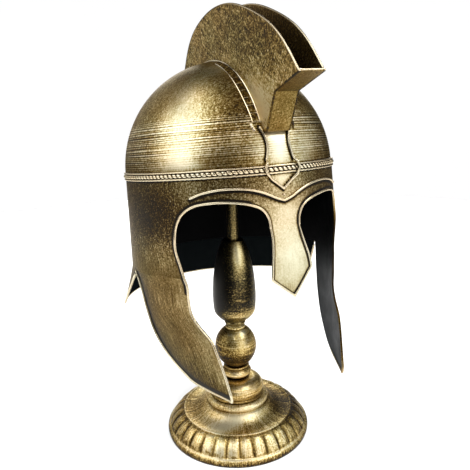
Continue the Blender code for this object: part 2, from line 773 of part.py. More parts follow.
def make_base(stand):
    """Foot: plain rim, ring of raised lobes, dished plate and rounded step under the bell."""
    samples = LOBES * 3
    rim = ((FOOT_RADIUS - 0.0008, 0.0), (FOOT_RADIUS, 0.0012), (FOOT_RADIUS, 0.0062),
           (0.0826, 0.0080))
    lobed = ((0.0808, 0.0086, 0.3), (0.0782, 0.0146, 1.0), (0.0732, 0.0208, 1.0),
             (0.0664, 0.0252, 0.6))
    plain = ((0.0642, 0.0256), (0.0632, 0.0271), (0.0604, 0.0262), (0.0520, 0.0270),
             (0.0450, 0.0298), (0.0395, 0.0345), (0.0364, 0.0362), (0.0364, 0.0380),
             (0.0350, 0.0422), (0.0316, 0.0440))

    def ring(radius, height, count, lobe=0.0):
        points = []
        for index in range(count):
            turn = 2 * math.pi * index / count
            swell = LOBE_DEPTH * lobe * (abs(math.sin(turn * LOBES / 2)) - 1.0)
            points.append(Vector(((radius + swell) * math.cos(turn),
                                  (radius + swell) * math.sin(turn), height + 0.6 * swell)))
        return points

    rings = [ring(radius, height, LOBES) for radius, height in rim]
    rings += [ring(radius, height, samples, lobe) for radius, height, lobe in lobed]
    rings += [ring(radius, height, LOBES) for radius, height in plain]
    mesh_data = bmesh.new()
    loops = [[mesh_data.verts.new(point) for point in points] for points in rings]
    for lower, upper in zip(loops, loops[1:]):
        join_rings(mesh_data, lower, upper)
    mesh_data.faces.new(loops[0])
    mesh_data.faces.new(loops[-1])
    close_outward(mesh_data)
    add_piece("stand_base", mesh_data, stand, look="stand")


def join_rings(mesh_data, lower, upper):
    """Skin between two rings of which one may have three times as many points."""
    if len(lower) == len(upper):
        for index in range(len(lower)):
            after = (index + 1) % len(lower)
            mesh_data.faces.new((lower[index], lower[after], upper[after], upper[index]))
        return
    few, many = (lower, upper) if len(lower) < len(upper) else (upper, lower)
    for index in range(len(few)):
        after = (index + 1) % len(few)
        run = [many[(3 * index + step) % len(many)] for step in range(4)]
        mesh_data.faces.new((few[index], run[0], run[1]))
        mesh_data.faces.new((few[index], run[1], run[2], few[after]))
        mesh_data.faces.new((few[after], run[2], run[3]))


def make_column(stand):
    bell = [(0.0306, 0.0), (0.0316, 0.0016)]
    bell += arc((0.0140, 0.0075), (0.0176, 0.0135), 0, 88, 6) + [(0.0120, 0.0215)]
    add_turned("stand_bell", bell, stand, BELL_Z)

    collar = arc((0.0118, 0.0052), (0.0056, 0.0048), -75, 70, 6)
    collar += [(0.0133, 0.0112), (0.0148, 0.0126), (0.0140, 0.0140)]
    add_turned("stand_collar", collar, stand, COLLAR_Z)

    ball = arc((0.0, 0.0235), (0.0240, 0.0262), -62, 64, 10)
    ball += [(0.0110, 0.0488)]
    add_turned("stand_ball", ball, stand, BALL_Z)

    vase = [(0.0106, 0.0), (0.0106, 0.0026), (0.0122, 0.0044), (0.0118, 0.0062), (0.0136, 0.0079),
            (0.0200, 0.0134), (0.0236, 0.0194), (0.0245, 0.0300), (0.0246, 0.0400),
            (0.0240, 0.0510), (0.0228, 0.0630), (0.0206, 0.0760), (0.0174, 0.0884),
            (0.0138, 0.0978), (0.0116, 0.1024), (0.0100, 0.1027)]
    add_turned("stand_vase", vase, stand, VASE_Z)

    length = post_top() - POST_Z
    post = [(POST_RADIUS, 0.0), (POST_RADIUS, length - 0.0012), (POST_RADIUS - 0.0012, length)]
    add_turned("stand_post", post, stand, POST_Z, sides=16)


def post_top():
    """Height at which the post meets the inside of the dome, with its gap."""
    lowest = 1.0
    inside = -SHEET - SKIN_GAP
    for turn in range(0, 360, 30):
        x = POST_RADIUS * math.sin(math.radians(turn))
        y = POST_RADIUS * math.cos(math.radians(turn)) - SEAT[1]
        low, high = 0.05, 0.15
        for _ in range(30):
            z = (low + high) / 2
            local_y = y * math.cos(TIP_BACK) + z * math.sin(TIP_BACK)
            local_z = -y * math.sin(TIP_BACK) + z * math.cos(TIP_BACK)
            reach = ((x / (BAND_HALF_WIDTH + inside)) ** 2
                     + (local_y / (BAND_HALF_LENGTH + inside)) ** 2
                     + (local_z / (DOME_HEIGHT + inside)) ** 2)
            if reach < 1.0:
                low = z
            else:
                high = z
        lowest = min(lowest, low)
    return SEAT[2] + lowest - SKIN_GAP


def main():
    clear_objects()
    stand = bpy.data.objects.new("stand", None)
    helmet = bpy.data.objects.new("helmet", None)
    for empty in (stand, helmet):
        bpy.context.scene.collection.objects.link(empty)
    helmet.location = SEAT
    helmet.rotation_euler = (TIP_BACK, 0.0, 0.0)

    make_dome(helmet)
    make_brow_wall(helmet)
    make_cheeks(helmet)
    make_neck_guard(helmet)
    make_band(helmet)
    make_face_edge(helmet)
    make_neck_edge(helmet)
    make_brow_wire(helmet)
    make_shield(helmet)
    make_crest(helmet)
    make_crest_strips(helmet)
    make_base(stand)
    make_column(stand)


main()
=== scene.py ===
"""Looks of the Roman helmet on its display stand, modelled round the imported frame.

Metres, +Z up, and the face looks towards -Y. The helmet's pieces are worked out in a frame of their
own, whose XY plane is the plane of the head band, and then laid in the row frame. A place on the
wall below the band is given by its angle from the front, in degrees, and by its drop below the band.
"""
from functools import partial
import math

import bmesh
import bpy
from mathutils import Matrix, Vector, noise
from mathutils.kdtree import KDTree


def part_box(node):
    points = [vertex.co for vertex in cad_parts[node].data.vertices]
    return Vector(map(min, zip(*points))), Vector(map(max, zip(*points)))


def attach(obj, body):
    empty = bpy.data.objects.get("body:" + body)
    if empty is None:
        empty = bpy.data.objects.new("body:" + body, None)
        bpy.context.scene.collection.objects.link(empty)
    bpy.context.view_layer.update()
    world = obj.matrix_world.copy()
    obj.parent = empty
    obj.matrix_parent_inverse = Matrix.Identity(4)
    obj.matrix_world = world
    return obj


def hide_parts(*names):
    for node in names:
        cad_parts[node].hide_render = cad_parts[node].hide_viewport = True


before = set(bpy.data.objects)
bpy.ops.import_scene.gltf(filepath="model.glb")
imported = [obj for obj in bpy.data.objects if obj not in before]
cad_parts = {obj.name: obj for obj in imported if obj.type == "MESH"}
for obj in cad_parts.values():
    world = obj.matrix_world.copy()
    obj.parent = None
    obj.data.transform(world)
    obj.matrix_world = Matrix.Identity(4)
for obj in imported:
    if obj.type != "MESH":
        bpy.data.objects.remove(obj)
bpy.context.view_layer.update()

# Where the helmet's frame sits
SEAT = Vector((0.0, 0.0129, 0.3112))
TIP_BACK = math.radians(-7.2)
HELMET = Matrix.Translation(SEAT) @ Matrix.Rotation(TIP_BACK, 4, "X")
UPRIGHT = Matrix.Identity(4)
SIDES = (("left", 1.0), ("right", -1.0))

# Camera of the studio shot: a little above the band, to the helmet's right
CAMERA_PLACE = Vector((-0.2378, -0.5444, 0.4051))
CAMERA_TURN = -23.857
CAMERA_DOWN = 15.71
CAMERA_ROLL = -1.592
CAMERA_LENS = 42.63

# Sheet and wire
SHEET = 0.0015
WIRE_RADIUS = 0.0012
EDGE_WIRE_RADIUS = 0.00125
FACE_WIRE_DEPTH = SHEET / 4  # how far the face's wire lies below the sheet's outer face
BACK_WIRE_DEPTH = -0.0006    # behind the cheeks it stands proud of the sheet
SOLDERED = 0.0003            # how far a wire sinks into what it lies on
GAP = 0.0003
SKIN_GRAIN = 0.00008         # height of the fine roughness of brass and paint

# Dome and band
BAND_HALF_WIDTH = 0.107
BAND_HALF_LENGTH = 0.126
DOME_HEIGHT = 0.112
BEADS = 150
BEAD_HALF_HEIGHT = 0.0020
BEAD_HALF_DEPTH = 0.0013
BAND_WIRE_HEIGHT = 0.0031
BAND_WIRE_RADIUS = 0.00095
BAND_WASH = (0.0019, 0.0027)  # the wires' wash ends between these heights
BAND_WIRE_WAVE = 0.00016     # how far the lower wire swings to and fro along the beads

# Wall below the band
BROW_HALF_LENGTH = 0.128
SIDE_FLARE = 0.031
REAR_FLARE = 0.03
WALL_DROP = 0.0967
NOTCH_ANGLE = 90.8
CHEEK_PINCH = 0.038
PINCH_START_DROP = 0.055
PINCH_ANGLE = 53.0

# Edge of the eye opening, from the nasal's root round to where the cheek begins
EYE_EDGE = (  # angle, drop
    (7.2, 0.0520),
    (7.9, 0.0425),
    (10.9, 0.0337),
    (17.3, 0.0281),
    (26.0, 0.0252),
    (35.3, 0.0248),
    (44.0, 0.0274),
    (50.4, 0.0353),
    (53.7, 0.0460),
    (55.1, 0.0590),
    (55.3, 0.0700),
    (54.1, 0.0830),
    (52.5, WALL_DROP),
)
STRIP_ANGLE = 64.0           # where the strip round the opening gives way to the plain wall
EYE_TURN_ROW = 5
EYE_CORNER_ROW = 8

# Nasal
NASAL = (  # drop, half_width
    (0.0620, 0.0140),
    (0.0720, 0.0159),
    (0.0820, 0.0182),
    (0.0940, 0.0202),
)
NASAL_TIP_DROP = 0.1140
NASAL_LEAN = 0.0112
NASAL_SIDE = 0.0012
NASAL_LEAN_START = 0.045
NASAL_SKEW = 0.0034
NASAL_COVERED = 0.032        # the dark line beside the wire, wash and painted groove shade, is thin on the right, out to here

# Cheek guards: the two edges of each level section
CHEEK = (  # drop, front_x, front_y, back_x, back_y
    (0.1050, 0.0822, -0.0764, 0.1084, -0.0012),
    (0.1180, 0.0819, -0.0755, 0.1065, -0.0036),
    (0.1320, 0.0804, -0.0761, 0.1049, -0.0060),
    (0.1431, 0.0764, -0.0844, 0.1034, -0.0084),
    (0.1549, 0.0706, -0.0985, 0.1015, -0.0122),
    (0.1657, 0.0684, -0.1037, 0.0990, -0.0176),
    (0.1770, 0.0663, -0.1074, 0.0952, -0.0262),
    (0.1880, 0.0645, -0.1106, 0.0900, -0.0390),
    (0.1975, 0.0632, -0.1129, 0.0840, -0.0540),
    (0.2040, 0.0624, -0.1144, 0.0778, -0.0710),
)
CHEEK_TIP = (0.0616, -0.1142)
CHEEK_TIP_DROP = 0.2090
CHEEK_TIP_BOW = 0.3
CHEEK_WASH_DROP = 0.110      # down to here the front edge has a line of wash

# Neck guard
NECK_DROP = 0.1385
NECK_HALF_WIDTH = 0.1230
NECK_HALF_LENGTH = 0.1390
NECK_FRONT_ANGLE = 106.0
NECK_SETBACK = 0.9           # degrees between the notch and the guard's seam
NECK_FLARE = 1.15            # power of the flare's curve

# Crest: outer edge of its side plates, from behind, over the top, to the point in front
CREST_EDGE = (  # y, z
    (0.0930, 0.0790),
    (0.0722, 0.1154),
    (0.0451, 0.1433),
    (0.0096, 0.1566),
    (-0.0330, 0.1600),
    (-0.0780, 0.1522),
    (-0.1286, 0.1302),
    (-0.1606, 0.1075),
    (-0.1867, 0.0762),
)
CREST_FRONT = (  # y, z of its point, bend, foot and toe
    (-0.1867, 0.0750),
    (-0.1452, 0.0648),
    (-0.1258, 0.0331),
    (-0.1216, 0.0322),
)
CREST_HALF_WIDTH = 0.012
CREST_RIM_RADIUS = 0.0010
CREST_RIM_INSET = 0.0013
CREST_RIM_SETBACK = 0.0006   # how far the rim's wire stays behind the point
CREST_FOOT_SHINE = -0.045    # forward of this, the plate is brushed bright along its foot

# Ladder strips along the crest's foot
STRIP_WIDTH = 0.0093
STRIP_TAPER = 0.14
STRIP_HEIGHT = 0.0015
STRIP_RAIL = 0.0013
STRIP_START = 22.4
STRIP_PITCH = 4.15
STRIP_GROWTH = 0.075
STRIP_CELLS = 10
STRIP_TAPER_END = 38.0       # rise at which the strip has its full width
STRIP_SLANT = 7.0
SLANT_START = 42.0
SLANT_SPAN = 29.0
STRIP_OVERRUN = 0.6          # degrees that the strip goes on past its last rung
INNER_RAIL = 1.35            # the inner rail's size, beside the outer one's
RUNG_RADIUS = 0.0005
RUNG_SETBACK = 0.35          # degrees from a cell's start to its rung
BED_HEIGHT = 0.0003
SEAM_START = 0.8             # degrees past the last rung
SEAM_END = 132.0
TAB = ((0.0212, 0.0415), (0.0206, 0.0385), (0.0192, 0.0345))  # x, z of the strip's foot
TAB_WIDTH = 0.0026
TAB_THICKNESS = 0.0010

# Wires laid on the face
BROW = (  # angle, drop
    (0.0, 0.0280),
    (3.7, 0.0256),
    (8.0, 0.0216),
    (12.5, 0.0181),
    (18.0, 0.0154),
    (25.0, 0.0142),
    (32.0, 0.0146),
    (39.0, 0.0169),
    (44.5, 0.0206),
)
SHIELD = (  # half_width, z
    (0.0145, 0.0372),
    (0.0136, 0.0345),
    (0.0126, 0.0318),
    (0.0116, 0.0285),
    (0.0109, 0.0210),
    (0.0122, 0.0133),
    (0.0141, 0.0075),
    (0.0166, 0.0018),
    (0.0158, -0.0030),
    (0.0118, -0.0078),
    (0.0060, -0.0125),
    (0.0000, -0.0175),
)
BAND_CROSSING = (0.0050, 0.0095)
STUD_RADIUS = 0.0014
STUD_DROP = 0.0226

# Where the wash was rubbed off, or left where the strength is negative, and where light is painted
# in the same way: many rows paint highlights, and shade where the strength is negative. The rows are
# (x, y, z, reach_x, reach_y, reach_z, strength), in the helmet's frame, and for the vase, the
# turned pieces and the foot in the row frame.
# Dome: a broad painted highlight on its right front, a bright painted strip inside the shield,
# painted light where the fold's foot shades it, and painted shade where the strength is negative;
# the rest is rubbed wash.
DOME_WEAR_AND_PAINTED_LIGHT = (
    (-0.018, -0.058, 0.098, 0.020, 0.018, 0.016, 0.20),
    (-0.076, -0.080, 0.036, 0.026, 0.034, 0.048, 0.34),
    (-0.019, -0.126, 0.018, 0.006, 0.030, 0.020, 0.22),
    (0.000, -0.126, 0.018, 0.013, 0.030, 0.026, 0.52),
    (0.030, -0.119, 0.018, 0.016, 0.030, 0.024, 0.34),
    (-0.058, -0.064, 0.075, 0.020, 0.026, 0.026, 0.18),
    (-0.036, -0.114, 0.028, 0.014, 0.020, 0.030, 0.13),
    (-0.026, -0.058, 0.100, 0.014, 0.030, 0.012, 0.14),
    (-0.075, -0.035, 0.085, 0.030, 0.040, 0.022, 0.07),
    (-0.082, -0.078, 0.010, 0.024, 0.024, 0.012, 0.20),
    (-0.024, -0.106, 0.048, 0.024, 0.020, 0.012, -0.17),
    (0.000, -0.121, 0.031, 0.012, 0.020, 0.005, 0.30),
)
# Face: the bright middle and nasal are rubbed wash and a painted highlight, and the dark patches low
# on the wall's sides are wash and painted dark reflection; the cheeks and the neck guard use the
# same rows.
FACE_WEAR_AND_PAINTED_LIGHT = (
    (0.000, -0.132, -0.070, 0.036, 0.030, 0.056, 0.52),
    (0.000, -0.128, -0.007, 0.012, 0.030, 0.009, 0.36),
    (0.006, -0.128, -0.036, 0.016, 0.030, 0.012, 0.14),
    (-0.100, -0.045, -0.036, 0.040, 0.034, 0.024, -0.30),
    (0.100, -0.045, -0.036, 0.040, 0.034, 0.022, -0.26),
    (-0.107, 0.000, -0.040, 0.020, 0.040, 0.050, -0.12),
    (-0.040, -0.118, -0.012, 0.028, 0.030, 0.020, 0.03),
    (0.040, -0.118, -0.012, 0.028, 0.030, 0.020, 0.03),
    (-0.077, -0.089, -0.014, 0.012, 0.014, 0.016, 0.15),
    (-0.098, -0.045, -0.080, 0.050, 0.050, 0.020, 0.08),
)
# Crest: mostly its right plate is brightened near its foot, as painted light on its shaded side; the
# negative rows are painted shade.
CREST_WEAR_AND_PAINTED_LIGHT = (
    (-0.010, -0.112, 0.066, 0.022, 0.026, 0.036, 0.42),
    (-0.010, -0.119, 0.054, 0.022, 0.024, 0.022, 0.22),
    (0.000, -0.128, 0.108, 0.030, 0.018, 0.030, -0.12),
    (0.000, -0.090, 0.112, 0.030, 0.034, 0.026, -0.14),
    (0.000, -0.113, 0.090, 0.030, 0.020, 0.014, -0.14),
    (0.000, 0.020, 0.130, 0.030, 0.050, 0.040, 0.08),
)
# Painted shade that darkens the highlight on the left ladder's tab.
LADDER_TAB_PAINTED_SHADE = ((0.022, -0.120, 0.039, 0.007, 0.020, 0.008, -0.90),)
# Painted shade down the front wire of the left cheek, which lies in shadow.
LEFT_CHEEK_WIRE_PAINTED_SHADE = (
    (0.086, -0.075, -0.080, 0.016, 0.022, 0.034, -0.65),
    (0.080, -0.080, -0.130, 0.016, 0.026, 0.036, -0.60),
    (0.068, -0.106, -0.180, 0.016, 0.026, 0.036, -0.60),
)
# Painted shade on the back of the crest's rim wire, on its right side.
CREST_RIM_PAINTED_SHADE = ((-0.012, 0.020, 0.140, 0.010, 0.062, 0.060, -1.10),)
# A painted highlight high on the vase's front, painted shade down its right side, painted highlights
# on the bands round its foot, and painted shade on the post.
VASE_WEAR_AND_PAINTED_LIGHT = (
    (-0.002, -0.0200, 0.223, 0.010, 0.020, 0.027, 0.72),
    (-0.022, -0.004, 0.180, 0.010, 0.014, 0.050, -0.70),
    (0.000, 0.000, 0.133, 0.040, 0.040, 0.010, 0.50),
    (0.000, 0.000, 0.150, 0.040, 0.040, 0.006, 0.55),
    (0.000, 0.000, 0.264, 0.040, 0.040, 0.026, -0.26),
    (-0.007, 0.003, 0.264, 0.005, 0.008, 0.030, -0.50),
)
# Painted highlights on the ball, the collar and the bell, painted shade on the ball's lower half and
# its right side, and a brighter ring at the ball's foot.
TURNED_WEAR_AND_PAINTED_LIGHT = (
    (0.000, 0.000, 0.095, 0.050, 0.050, 0.012, -0.46),
    (0.000, 0.000, 0.083, 0.050, 0.050, 0.003, 0.20),
    (-0.022, 0.008, 0.108, 0.012, 0.014, 0.022, -0.30),
    (0.003, -0.013, 0.125, 0.006, 0.009, 0.005, 0.34),
    (-0.011, -0.012, 0.122, 0.004, 0.007, 0.004, 0.24),
    (-0.006, -0.015, 0.073, 0.014, 0.014, 0.007, 0.32),
    (0.002, -0.024, 0.0605, 0.018, 0.016, 0.006, 0.32),
    (0.000, -0.022, 0.112, 0.009, 0.014, 0.012, 0.26),
)
# Painted highlights on the front lobes, the dished plate's front and the rim's top edge, painted
# shade on the foot's sides and the rim's face, and a darker band across the plate's front.
FOOT_WEAR_AND_PAINTED_LIGHT = (
    (-0.048, -0.056, 0.016, 0.054, 0.054, 0.012, 0.24),
    (-0.074, 0.016, 0.015, 0.028, 0.050, 0.030, -0.30),
    (0.074, -0.036, 0.015, 0.030, 0.050, 0.030, -0.40),
    (0.045, -0.022, 0.029, 0.024, 0.040, 0.010, -0.52),
    (-0.046, 0.020, 0.029, 0.014, 0.026, 0.010, -0.22),
    (-0.026, -0.040, 0.031, 0.034, 0.016, 0.010, 0.28),
    (0.004, -0.035, 0.039, 0.022, 0.014, 0.005, 0.20),
    (-0.026, -0.053, 0.027, 0.042, 0.009, 0.006, -0.34),
    (0.000, 0.000, 0.0020, 0.200, 0.200, 0.0042, -0.62),
    (0.000, 0.000, 0.0080, 0.200, 0.200, 0.0010, 0.34),
)

# Stand
LOBES = 32
LOBE_DEPTH = 0.0014
BELL_Z = 0.0445
COLLAR_Z = 0.0670
BALL_Z = 0.0815
VASE_Z = 0.1306
POST_Z = 0.2336
POST_RADIUS = 0.0066
TURNED_SIDES = 96
LOBES_INNER = (0.0642, 0.0660)  # radii between which the lobes' wash and painted shade begins
LOBES_OUTER = (0.0800, 0.0812)  # and ends
FOOT_BEAD_RADIUS = 0.0634

# Studio
TABLE_RADIUS = 1.4
TABLE_SIDES = 128
BACKDROP_HEIGHT = 1.8
BACKDROP_SIDES = 120
WORLD_LEVEL = 0.02
LIGHTS_AIM = Vector((0.0, 0.0, 0.30))
LIGHTS = (  # name, azimuth from the front towards +X, elevation, distance, width, height, strength
    ("left_box", -95.0, 28.0, 1.35, 1.40, 1.05, 2.5),
    ("left_high", -98.0, 65.0, 1.35, 0.95, 0.60, 2.7),
    ("left_front", -62.0, 45.0, 1.35, 0.50, 0.60, 1.9),
    ("front_box", 20.0, 9.0, 1.40, 2.20, 0.95, 1.65),
    ("front_high", 18.0, 46.0, 1.35, 0.80, 0.60, 2.9),
    ("right_box", 52.0, 46.0, 1.35, 0.65, 0.60, 5.1),
    ("right_high", 58.0, 68.0, 1.35, 0.60, 0.55, 5.3),
    ("right_low", 84.0, 18.0, 1.45, 0.90, 0.70, 0.9),
    ("back_right", 157.0, 11.0, 1.36, 1.05, 0.85, 3.0),
    ("back_left", -152.0, 18.0, 1.45, 1.25, 1.00, 0.80),
    ("floor_wash", 0.0, 88.0, 2.4, 3.2, 3.2, 3.5),
)
FLOOR_ONLY = ("floor_wash",)  # lights the table without being mirrored in the brass
FOOT_LIGHT = 21.0             # a spot from in front that reaches the foot under the helmet
FOOT_LIGHT_ANGLE = 13.0
FOOT_LIGHT_DISTANCE = 1.4
FOOT_LIGHT_AIM = Vector((-0.02, -0.05, 0.02))
FOOT_LIGHT_AWAY = Vector((-0.27, -0.61, 0.74)).normalized()

# Colour of the brass as (position, colour) stops, from the dark wash left whole to bare metal
WASH = (
    (0.00, (0.0035, 0.0018, 0.0004)),
    (0.20, (0.0280, 0.0155, 0.0035)),
    (0.42, (0.1280, 0.0780, 0.0190)),
    (0.56, (0.2500, 0.1720, 0.0590)),
    (0.68, (0.4200, 0.3380, 0.1620)),
    (0.84, (0.6500, 0.5800, 0.4000)),
    (1.00, (0.8300, 0.7800, 0.6200)),
)
GOLD_WASH = WASH[:4] + (     # the rubbed metal of the crest and the stand stays golden
    (0.68, (0.4400, 0.3100, 0.1000)),
    (0.84, (0.6400, 0.5150, 0.2600)),
    (1.00, (0.8300, 0.7500, 0.5200)),
)
DULL_WASH = (                # the vase's and the post's wash is blacker, which also paints the shade of the helmet over them
    (0.00, (0.0030, 0.0026, 0.0018)),
    (0.20, (0.0180, 0.0145, 0.0080)),
    (0.42, (0.1000, 0.0780, 0.0340)),
    (0.56, (0.2500, 0.1750, 0.0650)),
    (0.68, (0.4800, 0.3700, 0.1650)),
    (0.84, (0.7600, 0.6500, 0.3800)),
    (1.00, (0.9800, 0.9000, 0.6500)),
)
PALE_WASH = WASH[:2] + (     # the face's half rubbed metal is greyer
    (0.42, (0.1250, 0.0850, 0.0290)),
    (0.56, (0.2450, 0.1840, 0.0860)),
    (0.68, (0.4200, 0.3450, 0.1900)),
) + WASH[5:]
WIRE_WASH = WASH[:3] + (     # the wires' bare metal is paler and a little pink
    (0.60, (0.3400, 0.2600, 0.1350)),
    (0.80, (0.6200, 0.5400, 0.3900)),
    (1.00, (0.8400, 0.7700, 0.6200)),
)


# ---------------------------------------------------------------- curves

def smooth_step(value, start, end):
    """0 before start, 1 after end, and an even turn between them."""
    share = min(1.0, max(0.0, (value - start) / (end - start)))
    return share * share * (3.0 - 2.0 * share)


def mix(first, second, share):
    """The tuple that lies a share of the way from the first to the second."""
    return tuple(a + (b - a) * share for a, b in zip(first, second))


def smooth_curve(points, steps):
    """Catmull-Rom curve through the rows of a table, with steps spans to each row."""
    padded = [points[0]] + list(points) + [points[-1]]
    curve = []
    for rows in zip(padded, padded[1:], padded[2:], padded[3:]):
        for t in spread(steps)[:-1]:
            curve.append(tuple(
                0.5 * (2 * b + (c - a) * t + (2 * a - 5 * b + 4 * c - d) * t * t
                       + (3 * b - a - 3 * c + d) * t ** 3) for a, b, c, d in zip(*rows)))
    return curve + [tuple(points[-1])]


def arc(centre, radii, start, end, steps):
    """Points (radius, height) on an arc of an ellipse, between two angles in degrees."""
    angles = [math.radians(start + (end - start) * step / steps) for step in range(steps + 1)]
    return [(centre[0] + radii[0] * math.cos(a), centre[1] + radii[1] * math.sin(a))
            for a in angles]


def ring(radius, z, sides):
    """Points evenly round the Z axis."""
    turns = [2 * math.pi * side / sides for side in range(sides)]
    return [Vector((radius * math.cos(a), radius * math.sin(a), z)) for a in turns]


def spread(count, crowd=0.0):
    """Shares from 0 to 1, crowded towards both ends where crowd is near 1."""
    even = [step / count for step in range(count + 1)]
    return [share * (1.0 - crowd) + crowd * (1.0 - math.cos(math.pi * share)) / 2 for share in even]


def closer(path, pitch):
    """The same path with points no further apart than a pitch, so that its corners stay."""
    dense = [path[0]]
    for first, second in zip(path, path[1:]):
        spans = max(1, math.ceil((second - first).length / pitch))
        dense += [first.lerp(second, step / spans) for step in range(1, spans + 1)]
    return dense


def neighbours(path, closed=False):
    """The point before, the point and the point after, for each point of a path."""
    before, after = (path[-1], path[0]) if closed else (path[0], path[-1])
    return zip([before] + path[:-1], path, path[1:] + [after])


def miters(path, least):
    """How much wider a wire's section is at each point, where its path turns a corner."""
    corners = [(point - before).normalized().dot((after - point).normalized())
               for before, point, after in zip(path, path[1:], path[2:])]
    return [1.0] + [1.0 / math.sqrt(max(least, (1.0 + corner) / 2)) for corner in corners] + [1.0]


def mirror_x(point, sign=-1.0):
    """The same place on the other side, or the place itself where the sign is 1."""
    return Vector((sign * point.x, point.y, point.z))


def wrap(angle):
    """The same direction as an angle between -180 and 180 degrees."""
    return angle - 360.0 if angle > 180.0 else angle


# ---------------------------------------------------------------- the helmet's surfaces

def dome_point(angle, rise):
    """Point on the dome: angle from the front, rise in degrees from the band to the crown."""
    turn, up = math.radians(angle), math.radians(rise)
    return Vector((BAND_HALF_WIDTH * math.cos(up) * math.sin(turn),
                   -BAND_HALF_LENGTH * math.cos(up) * math.cos(turn), DOME_HEIGHT * math.sin(up)))


def wall_point(angle, drop, out=0.0):
    """Point on the outer face of the wall below the band."""
    side = BAND_HALF_WIDTH + SIDE_FLARE * drop + out
    length = BAND_HALF_LENGTH + REAR_FLARE * drop + out
    pinch = 1.0
    if abs(angle) < 90.0:
        length = BROW_HALF_LENGTH + out
        low = smooth_step(drop, PINCH_START_DROP, WALL_DROP)
        pinch -= CHEEK_PINCH * low * smooth_step(90.0 - abs(angle), 0.0, 90.0 - PINCH_ANGLE)
    turn = math.radians(angle)
    return Vector((pinch * side * math.sin(turn), -pinch * length * math.cos(turn), -drop))


WALL_FRONT = wall_point(EYE_EDGE[-1][0], WALL_DROP)
WALL_BACK = wall_point(NOTCH_ANGLE, WALL_DROP)


def nasal_point(half_width, share, drop):
    """Point on the nasal: share runs across it, from -1 to 1."""
    angle = math.degrees(math.asin(half_width * share / (BAND_HALF_WIDTH + SIDE_FLARE * drop)))
    skew = NASAL_SKEW * half_width * share / NASAL[-1][1]
    low = smooth_step(drop, NASAL_LEAN_START, NASAL[-1][0])
    return wall_point(angle, drop) + Vector((NASAL_SIDE, -NASAL_LEAN, skew)) * low


def cheek_rows(steps):
    """Level sections of the cheek's edges, from the wall down, as rows of the CHEEK table."""
    first = (WALL_DROP, *WALL_FRONT.xy, *WALL_BACK.xy)
    return smooth_curve((first, *CHEEK, (CHEEK_TIP_DROP, *CHEEK_TIP, *CHEEK_TIP)), steps)


def outward_of(chord):
    """The level direction square to a chord that leads out of the helmet."""
    across = chord.normalized()
    return Vector((-across.y, across.x, 0.0)) * math.copysign(1.0, -across.y)


def wall_bow(share):
    """How far the wall's last level section bulges past its chord, front edge to notch."""
    chord = WALL_BACK - WALL_FRONT
    low, high = EYE_EDGE[-1][0], NOTCH_ANGLE
    for _ in range(24):
        middle = (low + high) / 2
        reached = (wall_point(middle, WALL_DROP) - WALL_FRONT).dot(chord.normalized())
        low, high = (middle, high) if reached < chord.length * share else (low, middle)
    return (wall_point(low, WALL_DROP) - WALL_FRONT).dot(outward_of(chord))


def cheek_point(row, share):
    """Point on the left cheek: row is one of cheek_rows, share runs from front to back edge."""
    drop, front_x, front_y, back_x, back_y = row
    front = Vector((front_x, front_y, -drop))
    chord = Vector((back_x, back_y, -drop)) - front
    if chord.length < GAP:
        return front
    fall = (drop - WALL_DROP) / (CHEEK_TIP_DROP - WALL_DROP)
    kept = min(1.0, chord.length / (WALL_BACK - WALL_FRONT).length)
    kept *= 1.0 + (CHEEK_TIP_BOW - 1.0) * fall
    return front + chord * share + outward_of(chord) * wall_bow(share) * kept


def neck_point(share, fall):
    """Point on the neck guard: share runs round it behind, fall from its seam to its edge."""
    start = NOTCH_ANGLE + NECK_SETBACK + (NECK_FRONT_ANGLE - NOTCH_ANGLE) * fall
    turn = math.radians(start + (360.0 - 2 * start) * share)
    seam = (BAND_HALF_WIDTH + SIDE_FLARE * WALL_DROP, BAND_HALF_LENGTH + REAR_FLARE * WALL_DROP)
    side, length = mix(seam, (NECK_HALF_WIDTH, NECK_HALF_LENGTH), fall ** NECK_FLARE)
    drop = WALL_DROP + (NECK_DROP - WALL_DROP) * fall
    return Vector((side * math.sin(turn), -length * math.cos(turn), -drop))


def band_point(angle, height, out):
    """Point of the band, which follows the brow in front and the dome behind."""
    turn = math.radians(angle)
    length = BROW_HALF_LENGTH if math.cos(turn) > 0.0 else BAND_HALF_LENGTH
    return Vector(((BAND_HALF_WIDTH + out) * math.sin(turn),
                   -(length + out) * math.cos(turn), height))


def face_skin(x, z, out):
    """Point in front of the dome or the wall, lifted where the band is crossed."""
    proud = 2 * BEAD_HALF_DEPTH - SOLDERED
    if z > 0.0:
        proud += BROW_HALF_LENGTH - BAND_HALF_LENGTH
    lift = out + proud * (1.0 - smooth_step(abs(z), *BAND_CROSSING))
    if z > 0.0:
        left = 1.0 - (x / (BAND_HALF_WIDTH + lift)) ** 2 - (z / (DOME_HEIGHT + lift)) ** 2
        return Vector((x, -(BAND_HALF_LENGTH + lift) * math.sqrt(left), z))
    return wall_point(math.degrees(math.asin(x / (BAND_HALF_WIDTH + lift))), -z, lift)


def foot_point(x, rise, out=0.0):
    """Point at a height above the dome, given by x and by its rise in degrees from the front."""
    up = math.radians(rise)
    left = math.sqrt(1.0 - (x / (BAND_HALF_WIDTH + out)) ** 2)
    return Vector((x, -(BAND_HALF_LENGTH + out) * left * math.cos(up),
                   (DOME_HEIGHT + out) * left * math.sin(up)))


def foot_rise(x, z):
    """Rise at which a height is reached at this x, on the front half of the dome."""
    left = math.sqrt(1.0 - (x / BAND_HALF_WIDTH) ** 2)
    return math.degrees(math.asin(z / DOME_HEIGHT / left))


# ---------------------------------------------------------------- meshes

def add_object(name, data, place=UPRIGHT):
    """New object in the scene."""
    made = bpy.data.objects.new(name, data)
    made.matrix_world = place
    bpy.context.scene.collection.objects.link(made)
    return made


def add_mesh(name, shape, looks):
    """New object made of a bmesh, which is used up."""
    mesh = bpy.data.meshes.new(name)
    shape.to_mesh(mesh)
    shape.free()
    for look in looks:
        mesh.materials.append(look)
    mesh.shade_smooth()
    return add_object(name, mesh)


